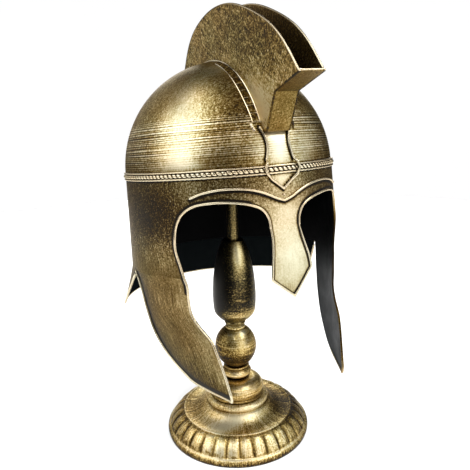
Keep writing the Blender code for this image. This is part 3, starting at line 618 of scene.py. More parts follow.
class Shape:
    """A mesh in the making, with three things stored at each point: flow, pigment and rub.

    flow is a place in metres whose last part runs the way the metal was brushed, pigment how
    much of the dark wash was left in a corner there, or painted there as shade beside a wire or
    on the foot's lobes, from 0 to 1, and rub how much more than elsewhere on the piece it was
    rubbed off, or less where it is negative, and it also holds painted highlights and shade.
    New loops take the material numbered by material.
    """

    def __init__(self):
        self.mesh = bmesh.new()
        self.flow = self.mesh.verts.layers.float_vector.new("flow")
        self.wash_and_shade = self.mesh.verts.layers.float.new("wash_and_shade")
        self.rubbed = self.mesh.verts.layers.float.new("rub_and_paint_light")
        self.material = 0

    def point(self, place, flow=(0.0, 0.0, 0.0), wash_and_shade=0.0):
        vert = self.mesh.verts.new(place)
        vert[self.flow] = flow
        vert[self.wash_and_shade] = wash_and_shade
        return vert

    def grid(self, rows, flows=None):
        """Join rows of points into quads, or into triangles where a row is one point."""
        rings = [[self.point(*pair) for pair in zip(*pairs)] for pairs in zip(rows, flows or rows)]
        for upper, lower in zip(rings, rings[1:]):
            for index in range(len(upper) - 1):
                below = lower if len(lower) == 1 else (lower[index + 1], lower[index])
                self.mesh.faces.new((upper[index], upper[index + 1], *below))

    def loop(self, rings, closed=False, pigments=None):
        """Skin between rings of equally many points, with flat ends unless the run is closed."""
        loops = [[self.point(place, wash_and_shade=wash_and_shade) for place in ring]
                 for ring, wash_and_shade in zip(rings, pigments or [0.0] * len(rings))]
        made = []
        for first, second in zip(loops, loops[1:] + loops[:int(closed)]):
            for corners in zip(first, first[1:] + first[:1], second[1:] + second[:1], second):
                made.append(self.mesh.faces.new(corners))
        if not closed:
            made += [self.mesh.faces.new(loops[0]), self.mesh.faces.new(loops[-1][::-1])]
        for face in made:
            face.material_index = self.material
        bmesh.ops.recalc_face_normals(self.mesh, faces=made)

    def face_out(self):
        """Turn an open sheet's faces away from the frame's axis."""
        bmesh.ops.remove_doubles(self.mesh, verts=self.mesh.verts, dist=0.00005)
        bmesh.ops.recalc_face_normals(self.mesh, faces=self.mesh.faces)
        outward = sum(face.normal.dot(face.calc_center_median() * face.calc_area())
                      for face in self.mesh.faces)
        if outward < 0.0:
            bmesh.ops.reverse_faces(self.mesh, faces=self.mesh.faces)

    def nearest(self, path):
        """Each point of the mesh, with the nearest place of a path and how far off it is."""
        tree = KDTree(len(path))
        for index, place in enumerate(path):
            tree.insert(place, index)
        tree.balance()
        for vert in self.mesh.verts:
            place, _, distance = tree.find(vert.co)
            yield vert, place, distance

    def wash(self, path, reach, full=0.0, shadow_side=None, share=1.0):
        """Leave dark wash along a wire. Where a side is given, most of it lies on that side of the
        wire, as its painted shadow.
        """
        for vert, place, distance in self.nearest(path):
            amount = share * (1.0 - smooth_step(distance, full, reach))
            if shadow_side is not None:
                amount *= smooth_step((vert.co - place).normalized().dot(shadow_side), -0.4, 0.5)
            vert[self.wash_and_shade] = max(vert[self.wash_and_shade], amount)

    def rub_and_paint_light(self, rows):
        """Rub the wash off, or leave more of it, round the places in the rows of a table; many rows
        paint highlights, and shade where their strength is negative.
        """
        for vert in self.mesh.verts:
            for x, y, z, reach_x, reach_y, reach_z, strength in rows:
                away = math.hypot((vert.co.x - x) / reach_x, (vert.co.y - y) / reach_y,
                                  (vert.co.z - z) / reach_z)
                vert[self.rubbed] += strength * math.exp(-away * away)

    def shine(self, path, reach, amount):
        """Rub the sheet brighter along a line, or darker where the amount is negative."""
        for vert, _, distance in self.nearest(path):
            vert[self.rubbed] += amount * (1.0 - smooth_step(distance, 0.0, reach))

    def thicken(self, thickness):
        """Give an open sheet its inner face, of the second material, and its rim."""
        self.mesh.normal_update()
        outer = list(self.mesh.faces)
        rim = [edge.link_loops[0] for edge in self.mesh.edges if edge.is_boundary]
        rim = [(loop.vert, loop.link_loop_next.vert) for loop in rim]
        inner = {}
        for vert in list(self.mesh.verts):
            inner[vert] = self.point(vert.co - vert.normal * thickness, vert[self.flow],
                                     vert[self.wash_and_shade])
            inner[vert][self.rubbed] = vert[self.rubbed]
        for face in outer:
            back = self.mesh.faces.new([inner[vert] for vert in reversed(face.verts)])
            back.material_index = 1
        for first, second in rim:
            self.mesh.faces.new((second, first, inner[first], inner[second]))

    def finish(self, name, slot, nodes, looks, place=HELMET, crease=38.0):
        """Make the piece, in the row frame, that stands for these CAD nodes."""
        bmesh.ops.transform(self.mesh, matrix=place, verts=self.mesh.verts)
        piece = add_mesh(name, self.mesh, looks)
        piece.data.set_sharp_from_angle(angle=math.radians(crease))
        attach(piece, "root")
        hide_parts(*nodes)


def sheet(*grids, flows=None):
    """Open sheet made of grids of points, whose flows are the points unless they are given."""
    shape = Shape()
    for rows in grids:
        shape.grid(rows, flows)
    shape.face_out()
    return shape


def wire_rings(path, radius, sides=10, closed=False, depth=None, swell=None, slant=0.0):
    """Sections of a wire along a path. swell(index) scales a section, and slant leans it along."""
    rings = []
    widths = miters(path, 0.3)
    for index, (before, point, after) in enumerate(neighbours(path, closed)):
        along = (after - before).normalized()
        across = along.cross(Vector((point.x, point.y, 0.0)).normalized()).normalized()
        proud = across.cross(along).normalized()
        level = across * widths[index] + along * slant
        size = swell(index) if swell else 1.0
        rings.append([point + level * (way.x * radius * size)
                      + proud * (way.y * (depth or radius) * size)
                      for way in ring(1.0, 0.0, sides)])
    return rings


def rounded_ends(path, radius):
    """The path drawn out by two round caps, and the size of its section at each point."""
    caps = [(math.sin(math.radians(turn)), math.cos(math.radians(turn))) for turn in (84, 60, 30)]
    start = (path[0] - path[1]).normalized() * radius
    end = (path[-1] - path[-2]).normalized() * radius
    head = [(path[0] + start * reach, size) for reach, size in caps]
    tail = [(path[-1] + end * reach, size) for reach, size in reversed(caps)]
    return zip(*head, *((point, 1.0) for point in path), *tail)


def uneven(point, share, pitch):
    """A little less than 1, changing smoothly from place to place, as handwork does."""
    return 1.0 - share * (0.5 - 0.5 * noise.noise(point / pitch))


def add_wire(shape, path, radius, sides=10, share=0.10, pitch=0.012):
    """Round wire with rounded ends and a hand's unevenness."""
    drawn, sizes = rounded_ends(path, radius)
    shape.loop(wire_rings(list(drawn), radius, sides,
                          swell=lambda index: sizes[index] * uneven(drawn[index], share, pitch)))


# ---------------------------------------------------------------- nodes

class Finish:
    """A material in the making, whose nodes are written as calls that return sockets."""

    def __init__(self, name):
        self.material = bpy.data.materials.new(name)
        self.material.use_nodes = True
        self.tree = self.material.node_tree
        self.shader = self.tree.nodes["Principled BSDF"]

    def node(self, kind, inputs, **settings):
        made = self.tree.nodes.new("ShaderNode" + kind)
        for name, value in settings.items():
            setattr(made, name, value)
        for name, value in inputs.items():
            self.plug(value, made.inputs[name])
        return made

    def plug(self, value, socket):
        if isinstance(value, bpy.types.NodeSocket):
            self.tree.links.new(value, socket)
        else:
            socket.default_value = value

    def set(self, **inputs):
        for name, value in inputs.items():
            self.plug(value, self.shader.inputs[name.replace("_", " ")])

    def place(self, helmet):
        """Coordinates in metres, in the helmet's own frame or in the row frame."""
        world = self.node("TexCoord", {}).outputs["Object"]
        if not helmet:
            return world
        return self.node("Mapping", {"Vector": world, "Location": SEAT,
                                     "Rotation": (TIP_BACK, 0.0, 0.0)},
                         vector_type="TEXTURE").outputs[0]

    def stored(self, name, output="Fac"):
        return self.node("Attribute", {}, attribute_name=name,
                         attribute_type="GEOMETRY").outputs[output]

    def vector(self, operation, first, second=(0.0, 0.0, 0.0)):
        return self.node("VectorMath", {0: first, 1: second}, operation=operation).outputs[0]

    def parts(self, vector):
        return self.node("SeparateXYZ", {0: vector}).outputs

    def math(self, operation, first, second=0.0, clamp=False):
        return self.node("Math", {0: first, 1: second}, operation=operation,
                         use_clamp=clamp).outputs[0]

    def add(self, first, second):
        return self.math("ADD", first, second)

    def times(self, first, second):
        return self.math("MULTIPLY", first, second)

    def swing(self, value, size):
        """A value from 0 to 1 turned into one that swings both ways round 0."""
        return self.times(self.math("SUBTRACT", value, 0.5), size)

    def noise(self, vector, scale, detail=2.0, roughness=0.5, stretch=None):
        """Noise, drawn out where stretch is the scale of each axis."""
        if stretch:
            vector = self.vector("MULTIPLY", vector, stretch)
        return self.node("TexNoise", {"Vector": vector, "Scale": scale, "Detail": detail,
                                      "Roughness": roughness}).outputs["Fac"]

    def between(self, value, start, end, low=0.0, high=1.0, smooth=True):
        """low up to start and high from end on, with a turn between them."""
        return self.node("MapRange", {"Value": value, "From Min": start, "From Max": end,
                                      "To Min": low, "To Max": high},
                         interpolation_type="SMOOTHSTEP" if smooth else "LINEAR").outputs[0]

    def zone(self, height, low, high, above, below):
        """1 between two heights, 0 over the upper one and less under the lower one."""
        return self.times(self.between(height, high + above, high - below),
                          self.between(height, low - 0.006, low + 0.01, 0.3))

    def blend(self, share, first, second):
        """Colour that goes from the first to the second."""
        made = self.node("Mix", {}, data_type="RGBA")
        colours = [socket for socket in made.inputs if socket.type == "RGBA"]
        self.plug(share, made.inputs[0])
        for socket, value in zip(colours, (first, second)):
            self.plug((*value, 1.0) if isinstance(value, tuple) else value, socket)
        return [socket for socket in made.outputs if socket.type == "RGBA"][0]

    def ramp(self, value, stops):
        """Colour from a value, through (position, colour) stops."""
        made = self.node("ValToRGB", {"Fac": value})
        elements = made.color_ramp.elements
        while len(elements) < len(stops):
            elements.new(0.5)
        for element, (position, colour) in zip(elements, stops):
            element.position = position
            element.color = (*colour, 1.0)
        return made.outputs["Color"]

    def hollow(self, distance):
        """0 in the open, up to 1 deep in a groove or right beside a wire."""
        open_sky = self.node("AmbientOcclusion", {"Distance": distance}, samples=6,
                             only_local=False).outputs["AO"]
        return self.math("SUBTRACT", 1.0, open_sky)

    def grit(self, height):
        """Fine roughness of the skin."""
        self.set(Normal=self.node("Bump", {"Height": height, "Distance": SKIN_GRAIN,
                                           "Strength": 0.5}).outputs[0])


def brass(name, helmet=True, bright=0.5, wash=WASH, mottling=1.0, grain=640.0, broad=0.22,
          brushed=(), rough=(0.50, 0.33), groove=0.0, groove_reach=0.003, still_below=None,
          polish=0.92, metal=1.0):
    """Antique brass: a dark wash rubbed off in grains, most of all on what stands proud.

    bright is how far it is rubbed, from 0 to 1, mottling how grainy, and broad how cloudy.
    brushed holds functions that add marks of brushing to the grains. groove is how dark its
    hollows stay. The grains are faint below the height still_below, and all but gone where the
    metal is rubbed as far as polish. metal is how much like bare metal the finish shines.
    """
    finish = Finish(name)
    place = finish.place(helmet)
    # the stored rubbing, added to bright, also holds painted highlights and shade
    rubbed = finish.add(finish.stored("rub_and_paint_light"), bright)
    clouds = finish.swing(finish.noise(place, 38.0, 3.0, 0.55), broad)
    grains = finish.add(finish.swing(finish.noise(place, grain, 1.0, 0.6), 1.7 * mottling),
                        finish.swing(finish.noise(place, grain * 2.2, 1.0, 0.5), 1.0 * mottling))
    if still_below is not None:
        still = finish.between(finish.parts(place)[2], still_below - 0.02, still_below + 0.01, 0.45)
        grains = finish.times(grains, still)
    for marks in brushed:
        grains = finish.add(grains, marks(finish, place))
    calm = finish.between(rubbed, 0.15, polish, 1.5, 0.12, smooth=False)
    wear = finish.add(rubbed, finish.add(clouds, finish.times(grains, calm)))
    if groove:
        wear = finish.math("SUBTRACT", wear, finish.times(finish.hollow(groove_reach), groove))
    wear = finish.math("SUBTRACT", wear, finish.times(finish.stored("wash_and_shade"), 1.1), clamp=True)

    hue = finish.between(finish.noise(place, 17.0), 0.35, 0.65)
    tint = finish.blend(hue, (1.0, 0.94, 0.87), (0.95, 1.0, 1.0))
    finish.set(Base_Color=finish.vector("MULTIPLY", finish.ramp(wear, wash), tint),
               Metallic=finish.between(wear, 0.05, 0.30, 0.2, metal), Specular_IOR_Level=0.2,
               Roughness=finish.between(wear, 0.1, 0.9, rough[0], rough[1], smooth=False),
               Specular_Tint=(0.82, 0.77, 0.68, 1.0))
    finish.grit(grains)
    return finish.material


def along_flow(finish, place, strength, top):
    """Fine streaks down the sheet; they fade out above the height top, and along the joint."""
    flow = finish.stored("flow", "Vector")
    lines = finish.noise(flow, 1.0, 2.0, 0.6, stretch=(720.0, 720.0, 45.0))
    height = finish.parts(place)[2]
    joint = finish.math("ABSOLUTE", finish.add(height, WALL_DROP))
    share = finish.times(finish.between(height, top - 0.02, top + 0.012, 1.0, 0.25),
                         finish.between(joint, 0.001, 0.010, 0.1))
    return finish.times(finish.swing(lines, strength), share)


def hatched(finish, place, strength, axis="X", turns=(52.0, -38.0), pitch=520.0):
    """Fine brush strokes that cross each other."""
    bend = finish.times(finish.noise(place, 22.0, 1.0, 0.5), 26.0)
    strokes = []
    for turn in turns:
        leaning = finish.node("VectorRotate", {"Vector": place, "Angle": math.radians(turn)},
                              rotation_type=axis + "_AXIS").outputs[0]
        drawn = finish.vector("MULTIPLY", leaning, (pitch * 0.5, pitch, 70.0))
        lines = finish.noise(finish.vector("ADD", drawn, bend), 1.0, 2.0, 0.6)
        strokes.append(finish.swing(lines, strength))
    return finish.add(*strokes)


def spun(finish, place, strength, low, high, pitch, run):
    """Rings left by the lathe, between two heights."""
    rings = finish.noise(place, 1.0, 2.0, 0.7, stretch=(run, run, pitch))
    zone = finish.zone(finish.parts(place)[2], low, high, 0.005, 0.006)
    return finish.times(finish.swing(rings, strength), zone)


def ringed(finish, place, strength, low, high, pitch):
    """Thin rings at an even pitch, between two heights."""
    z = finish.parts(place)[2]
    drift = finish.noise(place, 1.0, 1.0, 0.5, stretch=(6.0, 6.0, 90.0))
    phase = finish.add(finish.times(z, 2 * math.pi / pitch), finish.times(drift, 16.0))
    depth = finish.noise(place, 1.0, 1.0, 0.5, stretch=(14.0, 14.0, 300.0))
    rings = finish.times(finish.math("SINE", phase), depth)
    return finish.times(finish.times(rings, strength), finish.zone(z, low, high, 0.004, 0.004))


def radial(finish, place, strength, count=70.0):
    """Streaks that run out from the stand's axis and up its sides."""
    out = finish.vector("NORMALIZE", finish.vector("MULTIPLY", place, (1.0, 1.0, 0.0)))
    rise = finish.vector("MULTIPLY", place, (0.0, 0.0, 60.0))
    spokes = finish.vector("ADD", finish.vector("MULTIPLY", out, (count, count, 0.0)), rise)
    return finish.swing(finish.noise(spokes, 1.0, 2.0, 0.6), strength)


def black_paint(name, colour=(0.0008, 0.0008, 0.0009), roughness=0.50, gloss=0.03, lower_grey=None):
    """Black lining paint, a little cloudy; the last argument is a greyer colour that it takes low on
    a cheek, away from the edge.
    """
    finish = Finish(name)
    place = finish.place(True)
    cloud = finish.noise(place, 60.0, 3.0, 0.6)
    paint = finish.blend(cloud, colour, tuple(channel * 1.9 for channel in colour))
    if lower_grey:
        inward = finish.parts(finish.stored("flow", "Vector"))[0]
        share = finish.times(finish.between(finish.parts(place)[2], -0.080, -0.125),
                             finish.between(inward, 0.004, 0.016))
        paint = finish.blend(share, paint, lower_grey)
    finish.set(Base_Color=paint, Metallic=0.0, Specular_IOR_Level=gloss,
               Roughness=finish.between(cloud, 0.3, 0.7, roughness - 0.08, roughness + 0.08))
    finish.grit(finish.noise(place, 1500.0, 2.0, 0.6))
    return finish.material


# ---------------------------------------------------------------- helmet pieces

def dome_angles():
    """Columns round the dome, close together in front, where the shield's wire lies."""
    half = [0.5 * step for step in range(30)] + [15.0 + 2.5 * step for step in range(67)]
    return [-angle for angle in reversed(half[1:])] + half[:-1] + [180.0]


def band_line(surface):
    """The band's middle line, on the dome or on the wall."""
    return [surface(wrap(1.5 * step), 0.0) for step in range(240)]


def make_dome(looks, shield):
    """Dome, with wash beside the band, wash and a painted shadow on one side of the shield's wire,
    and painted highlights and shade.
    """
    steps = 72
    rows = [[dome_point(angle, 90.0 * row / steps) for angle in dome_angles()]
            for row in range(steps)]
    shape = sheet(rows + [[dome_point(0.0, 90.0)]])
    # wash and a painted shadow on the -X side of the shield's wire
    shape.wash(shield, reach=0.0036, full=0.0012, shadow_side=Vector((-1.0, 0.0, 0.0)))
    shape.wash(band_line(dome_point), reach=0.0052, full=0.0038, share=0.75)
    shape.rub_and_paint_light(DOME_WEAR_AND_PAINTED_LIGHT)
    shape.thicken(SHEET)
    shape.finish("dome_shell", "dome_brass", ["dome"], looks)


def eye_strip(steps, rows):
    """Grid between the eye opening's edge and the band, then the plain part, as (angle, drop)."""
    edge = smooth_curve(EYE_EDGE, steps)
    turn = EYE_TURN_ROW * steps
    corner = EYE_CORNER_ROW * steps
    columns = []
    for index, place in enumerate(edge):
        if index <= turn:
            far = (place[0], 0.0)
        elif index <= corner:
            share = (index - turn) / (corner - turn)
            far = (edge[turn][0] + (STRIP_ANGLE - edge[turn][0]) * share, 0.0)
        else:
            far = (STRIP_ANGLE, WALL_DROP * (index - corner) / (len(edge) - 1 - corner))
        columns.append([mix(far, place, share) for share in spread(rows)])
    return columns


def nasal_rows(steps, shares):
    """Level sections of the nasal, from its root to its tip."""
    angle, drop = EYE_EDGE[0]
    root = (drop, (BAND_HALF_WIDTH + SIDE_FLARE * drop) * math.sin(math.radians(angle)))
    sections = smooth_curve((root,) + NASAL, steps)
    sections += [mix(NASAL[-1], (NASAL_TIP_DROP, 0.0), share)
                 for share in spread(steps * 2)[1:-1]]
    rows = [[nasal_point(half_width, share, drop) for share in shares]
            for drop, half_width in sections]
    return rows + [[nasal_point(0.0, 0.0, NASAL_TIP_DROP)]]


def make_brow_wall(looks, wires):
    """Wall with the eye openings, in one sheet with the nasal."""
    steps, strips, across, spans = 12, 30, 24, 110
    columns = eye_strip(steps, strips)
    grids = [[[wall_point(sign * angle, drop) for angle, drop in column] for column in columns]
             for sign in (-1.0, 1.0)]
    behind = 360.0 - 2 * STRIP_ANGLE
    grids.append([[wall_point(wrap(STRIP_ANGLE + behind * span / spans), column[0][1])
                   for span in range(spans + 1)] for column in columns[EYE_CORNER_ROW * steps:]])
    shares = [2.0 * share - 1.0 for share in spread(across)]
    nasal = [[wall_point(EYE_EDGE[0][0] * share, drop) for share in shares]
             for _, drop in columns[0][:-1]]
    shape = sheet(*grids, nasal + nasal_rows(steps, shares))

    # wash and a painted shadow on the -X side of the shield's wire and below it
    shape.wash(wires["shield"], reach=0.0036, full=0.0012,
               shadow_side=Vector((-1.0, 0.0, -0.5)).normalized())
    # wash and a painted shadow under the brow wire
    shape.wash(wires["brow"], reach=0.0046, full=0.0014, shadow_side=Vector((0.0, 0.0, -1.0)))
    # the dark line beside the face's wire is wash and painted shade of its groove; it is thin on the
    # nasal's right side
    seen, covered = [], []
    for point in closer(wires["face"], 0.001):
        thin = -NASAL_COVERED < point.x < 0.0 and point.y < 0.0
        (covered if thin else seen).append(point)
    shape.wash(seen, reach=0.0038, full=0.0021, share=0.9)
    shape.wash(covered, reach=0.0026, full=0.0006, share=0.6)
    shape.wash(band_line(wall_point), reach=0.0056, full=0.0040, share=0.9)
    shape.rub_and_paint_light(FACE_WEAR_AND_PAINTED_LIGHT)
    shape.thicken(SHEET)
    shape.finish("face_plate", "face_brass", ["brow_wall"], looks)


def make_cheeks(looks):
    """Two cheek guards, bright along the front edge and dark along the back one."""
    rows = cheek_rows(10)
    shares = spread(30, 0.7)
    widths = [math.hypot(row[3] - row[1], row[4] - row[2]) for row in rows]
    for side, sign in SIDES:
        lines = [[0.0] if row[0] >= CHEEK_TIP_DROP else shares for row in rows]
        shape = sheet([[mirror_x(cheek_point(row, share), sign) for share in line]
                       for row, line in zip(rows, lines)],
                      flows=[[(width * share, 0.0, row[0]) for share in line]
                             for row, line, width in zip(rows, lines, widths)])
        front, back = ([mirror_x(cheek_point(row, share), sign) for row in rows]
                       for share in (0.0, 1.0))
        shape.wash([point for point in front if -point.z < CHEEK_WASH_DROP],
                   reach=0.0034, full=0.0015, share=0.8)
        shape.wash(back, reach=0.0070, full=0.0022, share=0.85)
        shape.rub_and_paint_light(FACE_WEAR_AND_PAINTED_LIGHT)
        shape.shine(back, reach=0.030, amount=-0.14)
        shape.shine(front, reach=0.030, amount=0.16)
        shape.thicken(SHEET)
        shape.finish("cheek_plate_" + side, "face_brass", ["cheek_guard_" + side], looks)


def make_neck_guard(looks, path):
    """Flared guard behind, with wash beside its wire."""
    shape = sheet([[neck_point(share, fall) for share in spread(110, 0.4)] for fall in spread(24)])
    shape.wash(path, reach=0.0036, full=0.0016, share=0.8)
    shape.rub_and_paint_light(FACE_WEAR_AND_PAINTED_LIGHT)
    shape.thicken(SHEET)
    shape.finish("neck_plate", "face_brass", ["neck_guard"], looks)


def make_band(wire_look, bead_look):
    """Two wires and the row of beads between them."""
    steps = 4
    for name, height, wave in (("upper", BAND_WIRE_HEIGHT, 0.0),
                               ("lower", -BAND_WIRE_HEIGHT, BAND_WIRE_WAVE)):
        path = [band_point(360.0 * index / (BEADS * steps),
                           height + wave * math.sin(2 * math.pi * index / steps + 0.8),
                           BAND_WIRE_RADIUS - SOLDERED) for index in range(BEADS * steps)]
        shape = Shape()
        shape.loop(wire_rings(path, BAND_WIRE_RADIUS, closed=True,
                              swell=lambda index: uneven(path[index], 0.08, 0.01)), closed=True)
        for vert in shape.mesh.verts:
            vert[shape.wash_and_shade] = 0.8 * (1.0 - smooth_step(abs(vert.co.z), *BAND_WASH))
        shape.finish("band_cord_" + name, "trim_brass", ["band_wire_" + name], [wire_look])

    stations = 8
    path = [band_point(360.0 * index / (BEADS * stations), 0.0, BEAD_HALF_DEPTH - SOLDERED)
            for index in range(BEADS * stations)]
    bulges = [math.sin(math.pi * step / stations) ** 0.55 for step in range(stations)] * BEADS

    def bead(index):
        return (0.34 + 0.66 * bulges[index]) * uneven(path[index], 0.14, 0.006)

    shape = Shape()
    shape.loop(wire_rings(path, BEAD_HALF_HEIGHT, closed=True, depth=BEAD_HALF_DEPTH, swell=bead,
                          slant=0.7),
               closed=True, pigments=[0.6 * (1.0 - bulge) ** 1.5 for bulge in bulges])
    shape.finish("band_beads", "trim_brass", ["band_rope"], [bead_look], crease=60.0)


def edge_path(pairs, depths=None):
    """Centre line of a wire along a sheet's edge, at given depths below its outer face.

    pairs are points of the edge, each with a point a little way into the sheet.
    """
    edges, inners = map(list, zip(*pairs))
    depths = depths or [SHEET / 2] * len(pairs)
    path = []
    for (before, edge, after), inner, depth, width in zip(neighbours(edges), inners, depths,
                                                          miters(edges, 0.25)):
        along = (after - before).normalized()
        outward = edge - inner
        outward = (outward - along * outward.dot(along)).normalized()
        normal = along.cross(outward)
        if normal.dot(Vector((edge.x, edge.y, 0.0))) < 0.0:
            normal.negate()
        reach = (EDGE_WIRE_RADIUS - SOLDERED) * width
        path.append(edge + outward * reach - normal * depth)
    return path


def mirrored(rows):
    """The same points, or pairs of points, on the other side and from end to start."""
    return [mirror_x(row) if isinstance(row, Vector) else tuple(map(mirror_x, row))
            for row in reversed(rows)]


def face_path():
    """The edge from notch to notch: cheek, eye opening, nasal, and the same on the other side."""
    steps = 8
    rows = cheek_rows(steps)
    side = [(cheek_point(row, 1.0), cheek_point(row, 0.9)) for row in rows[2:-1]]
    side.append((cheek_point(rows[-1], 0.0), cheek_point(rows[-3], 0.4)))
    behind = len(side)
    side += [(cheek_point(row, 0.0), cheek_point(row, 0.1)) for row in rows[-2:0:-1]]
    for column in reversed(eye_strip(steps, 6)):
        angle, drop = column[-2]
        toward_nasal = 1.0 - 0.3 * (1.0 - smooth_step(angle, EYE_EDGE[1][0], EYE_EDGE[3][0]))
        side.append((wall_point(*column[-1]), wall_point(angle * toward_nasal, drop)))

    right, left = ([(nasal_point(half_width, sign, drop), nasal_point(half_width, 0.9 * sign, drop))
                    for drop, half_width in smooth_curve(NASAL, steps)] for sign in (1.0, -1.0))
    tip = (nasal_point(0.0, 0.0, NASAL_TIP_DROP), nasal_point(0.0, 0.0, NASAL[-1][0]))
    pairs = side + right + [tip] + left[::-1] + mirrored(side)
    depths = []
    for index in range(len(pairs)):
        to_front = smooth_step(min(index, len(pairs) - 1 - index), behind - 6, behind + 2)
        depths.append(BACK_WIRE_DEPTH + (FACE_WIRE_DEPTH - BACK_WIRE_DEPTH) * to_front)
    return edge_path(pairs, depths)


def neck_path():
    """The neck guard's edge: one side, the hem behind and the other side."""
    rows, spans = 16, 110
    side = [(neck_point(0.0, row / rows), neck_point(0.05, row / rows)) for row in range(2, rows)]
    hem = [(neck_point(share, 1.0), neck_point(max(0.03, min(0.97, share)), 0.9))
           for share in spread(spans)]
    return edge_path(side + hem + mirrored(side))


def brow_path():
    """Centre line of the wire over the eyes, from the right to the left."""
    half = [wall_point(angle, drop, WIRE_RADIUS - SOLDERED)
            for angle, drop in smooth_curve(BROW, 8)]
    return mirrored(half[1:]) + half


def shield_path():
    """Centre line of the shield's wire, from its right top down to the tip and up again."""
    half = [face_skin(x, z, WIRE_RADIUS - SOLDERED) for x, z in smooth_curve(SHIELD, 6)]
    return mirrored(half)[::-1] + half[-2::-1]


def make_wires(looks, wires):
    """The four wires soldered to the face and the neck guard, and the drop of solder."""
    for name, key, node, radius in (("face_wire", "face", "face_edge", EDGE_WIRE_RADIUS),
                                    ("neck_wire", "neck", "neck_edge", EDGE_WIRE_RADIUS),
                                    ("brow_bead", "brow", "brow_wire", WIRE_RADIUS),
                                    ("shield_bead", "shield", "shield_wire", WIRE_RADIUS)):
        shape = Shape()
        add_wire(shape, closer(wires[key], 0.0016), radius)
        shape.rub_and_paint_light(LEFT_CHEEK_WIRE_PAINTED_SHADE)
        shape.finish(name, "trim_brass", [node], looks)

    shape = Shape()
    made = bmesh.ops.create_icosphere(shape.mesh, subdivisions=3, radius=STUD_RADIUS)
    centre = wall_point(0.0, STUD_DROP, STUD_RADIUS * 0.4)
    for vert in made["verts"]:
        vert.co = centre + vert.co * uneven(vert.co + centre, 0.25, 0.0015)
    shape.finish("solder_dot", "trim_brass", ["brow_stud"], looks)


# ---------------------------------------------------------------- crest

def offset_inward(edge, inset):
    """The (y, z) edge moved in by a width; it runs from behind over the top to the front."""
    moved = []
    for before, (y, z), after in neighbours(edge):
        run_y, run_z = after[0] - before[0], after[1] - before[1]
        length = math.hypot(run_y, run_z)
        moved.append((y - inset * run_z / length, z + inset * run_y / length))
    return moved


def evenly(line, count):
    """Points at even lengths along a line of (y, z) points, its ends included."""
    lengths = [0.0]
    for first, second in zip(line, line[1:]):
        lengths.append(lengths[-1] + math.dist(first, second))
    points, span = [], 0
    for step in range(count + 1):
        target = lengths[-1] * step / count
        while span < len(line) - 2 and lengths[span + 1] < target:
            span += 1
        share = (target - lengths[span]) / (lengths[span + 1] - lengths[span])
        points.append(mix(line[span], line[span + 1], share))
    return points


def crest_rows(outer, rows=26, columns=170):
    """Side plate as rows of (y, z), from its outer edge to its foot on the dome and its front."""
    start = 180.0 - foot_rise(CREST_HALF_WIDTH, outer[0][1] - GAP)
    end = foot_rise(CREST_HALF_WIDTH, CREST_FRONT[-1][1])
    foot = [tuple(foot_point(CREST_HALF_WIDTH, start + (end - start) * step / 90).yz)
            for step in range(91)]
    above, below = evenly(outer, columns), evenly(foot + list(CREST_FRONT[2::-1]), columns)
    return [[mix(high, low, share) for high, low in zip(above, below)] for share in spread(rows)]


def upright(x, line):
    """The (y, z) points of a line at this x."""
    return [Vector((x, y, z)) for y, z in line]


def make_crest(plate_look, front_look, inside_look, rim_look):
    """Two side plates, the folded strip between them in front, and the wire round the rim."""
    outer = offset_inward(smooth_curve(CREST_EDGE, 10), CREST_RIM_INSET)
    rows = crest_rows(outer)
    for side, sign in SIDES:
        x = sign * CREST_HALF_WIDTH
        shape = sheet([upright(x, row) for row in rows])
        shape.wash(upright(x, evenly(CREST_FRONT, 120)), reach=0.0016, full=0.0006, share=0.55)
        shape.rub_and_paint_light(CREST_WEAR_AND_PAINTED_LIGHT)
        foot = [place for place in rows[-1] if place[0] < CREST_FOOT_SHINE]
        shape.shine(upright(x, foot), reach=0.024, amount=0.20)
        shape.thicken(SHEET)
        shape.finish("crest_sheet_" + side, "crest_brass", ["crest_plate_" + side],
                     [plate_look, inside_look])

    within = ((-0.0003, SHEET), (0.0010, SHEET), (0.0012, 0.0010), (0.0, SHEET))
    inside = tuple((y + back, z + up) for (y, z), (back, up) in zip(CREST_FRONT, within))
    inner = CREST_HALF_WIDTH - SHEET
    shape = Shape()
    shape.loop([upright(x, CREST_FRONT + inside[::-1]) for x in (-inner, inner)])
    shape.finish("crest_fold", "crest_brass", ["crest_front"], [front_look])

    outer[-1] = (CREST_EDGE[-1][0] + CREST_RIM_SETBACK, CREST_EDGE[-1][1])
    left = upright(CREST_HALF_WIDTH - SHEET / 2, outer)
    shape = Shape()
    add_wire(shape, closer(left + mirrored(left), 0.003), CREST_RIM_RADIUS, share=0.16)
    shape.rub_and_paint_light(CREST_RIM_PAINTED_SHADE)
    shape.finish("crest_wire", "trim_brass", ["crest_rim"], [rim_look])


def strip_rise(cell):
    """Rise at which a cell of the ladder starts."""
    return STRIP_START + STRIP_PITCH * cell + STRIP_GROWTH * cell * cell


def slanted(rise, across):
    """Rise of a place across the ladder, whose upper rungs are not square to it."""
    slant = STRIP_SLANT * max(0.0, (rise - SLANT_START) / SLANT_SPAN) ** 1.5
    return rise + slant * (0.5 - across)


def ladder_point(across, rise, out, sign):
    """Point of a ladder strip: across runs from its inner rail to its outer one."""
    narrow = STRIP_TAPER * (1.0 - smooth_step(rise, STRIP_START, STRIP_TAPER_END))
    x = CREST_HALF_WIDTH + GAP + STRIP_WIDTH * (1.0 - narrow) * across
    return mirror_x(foot_point(x, slanted(rise, across), out), sign)


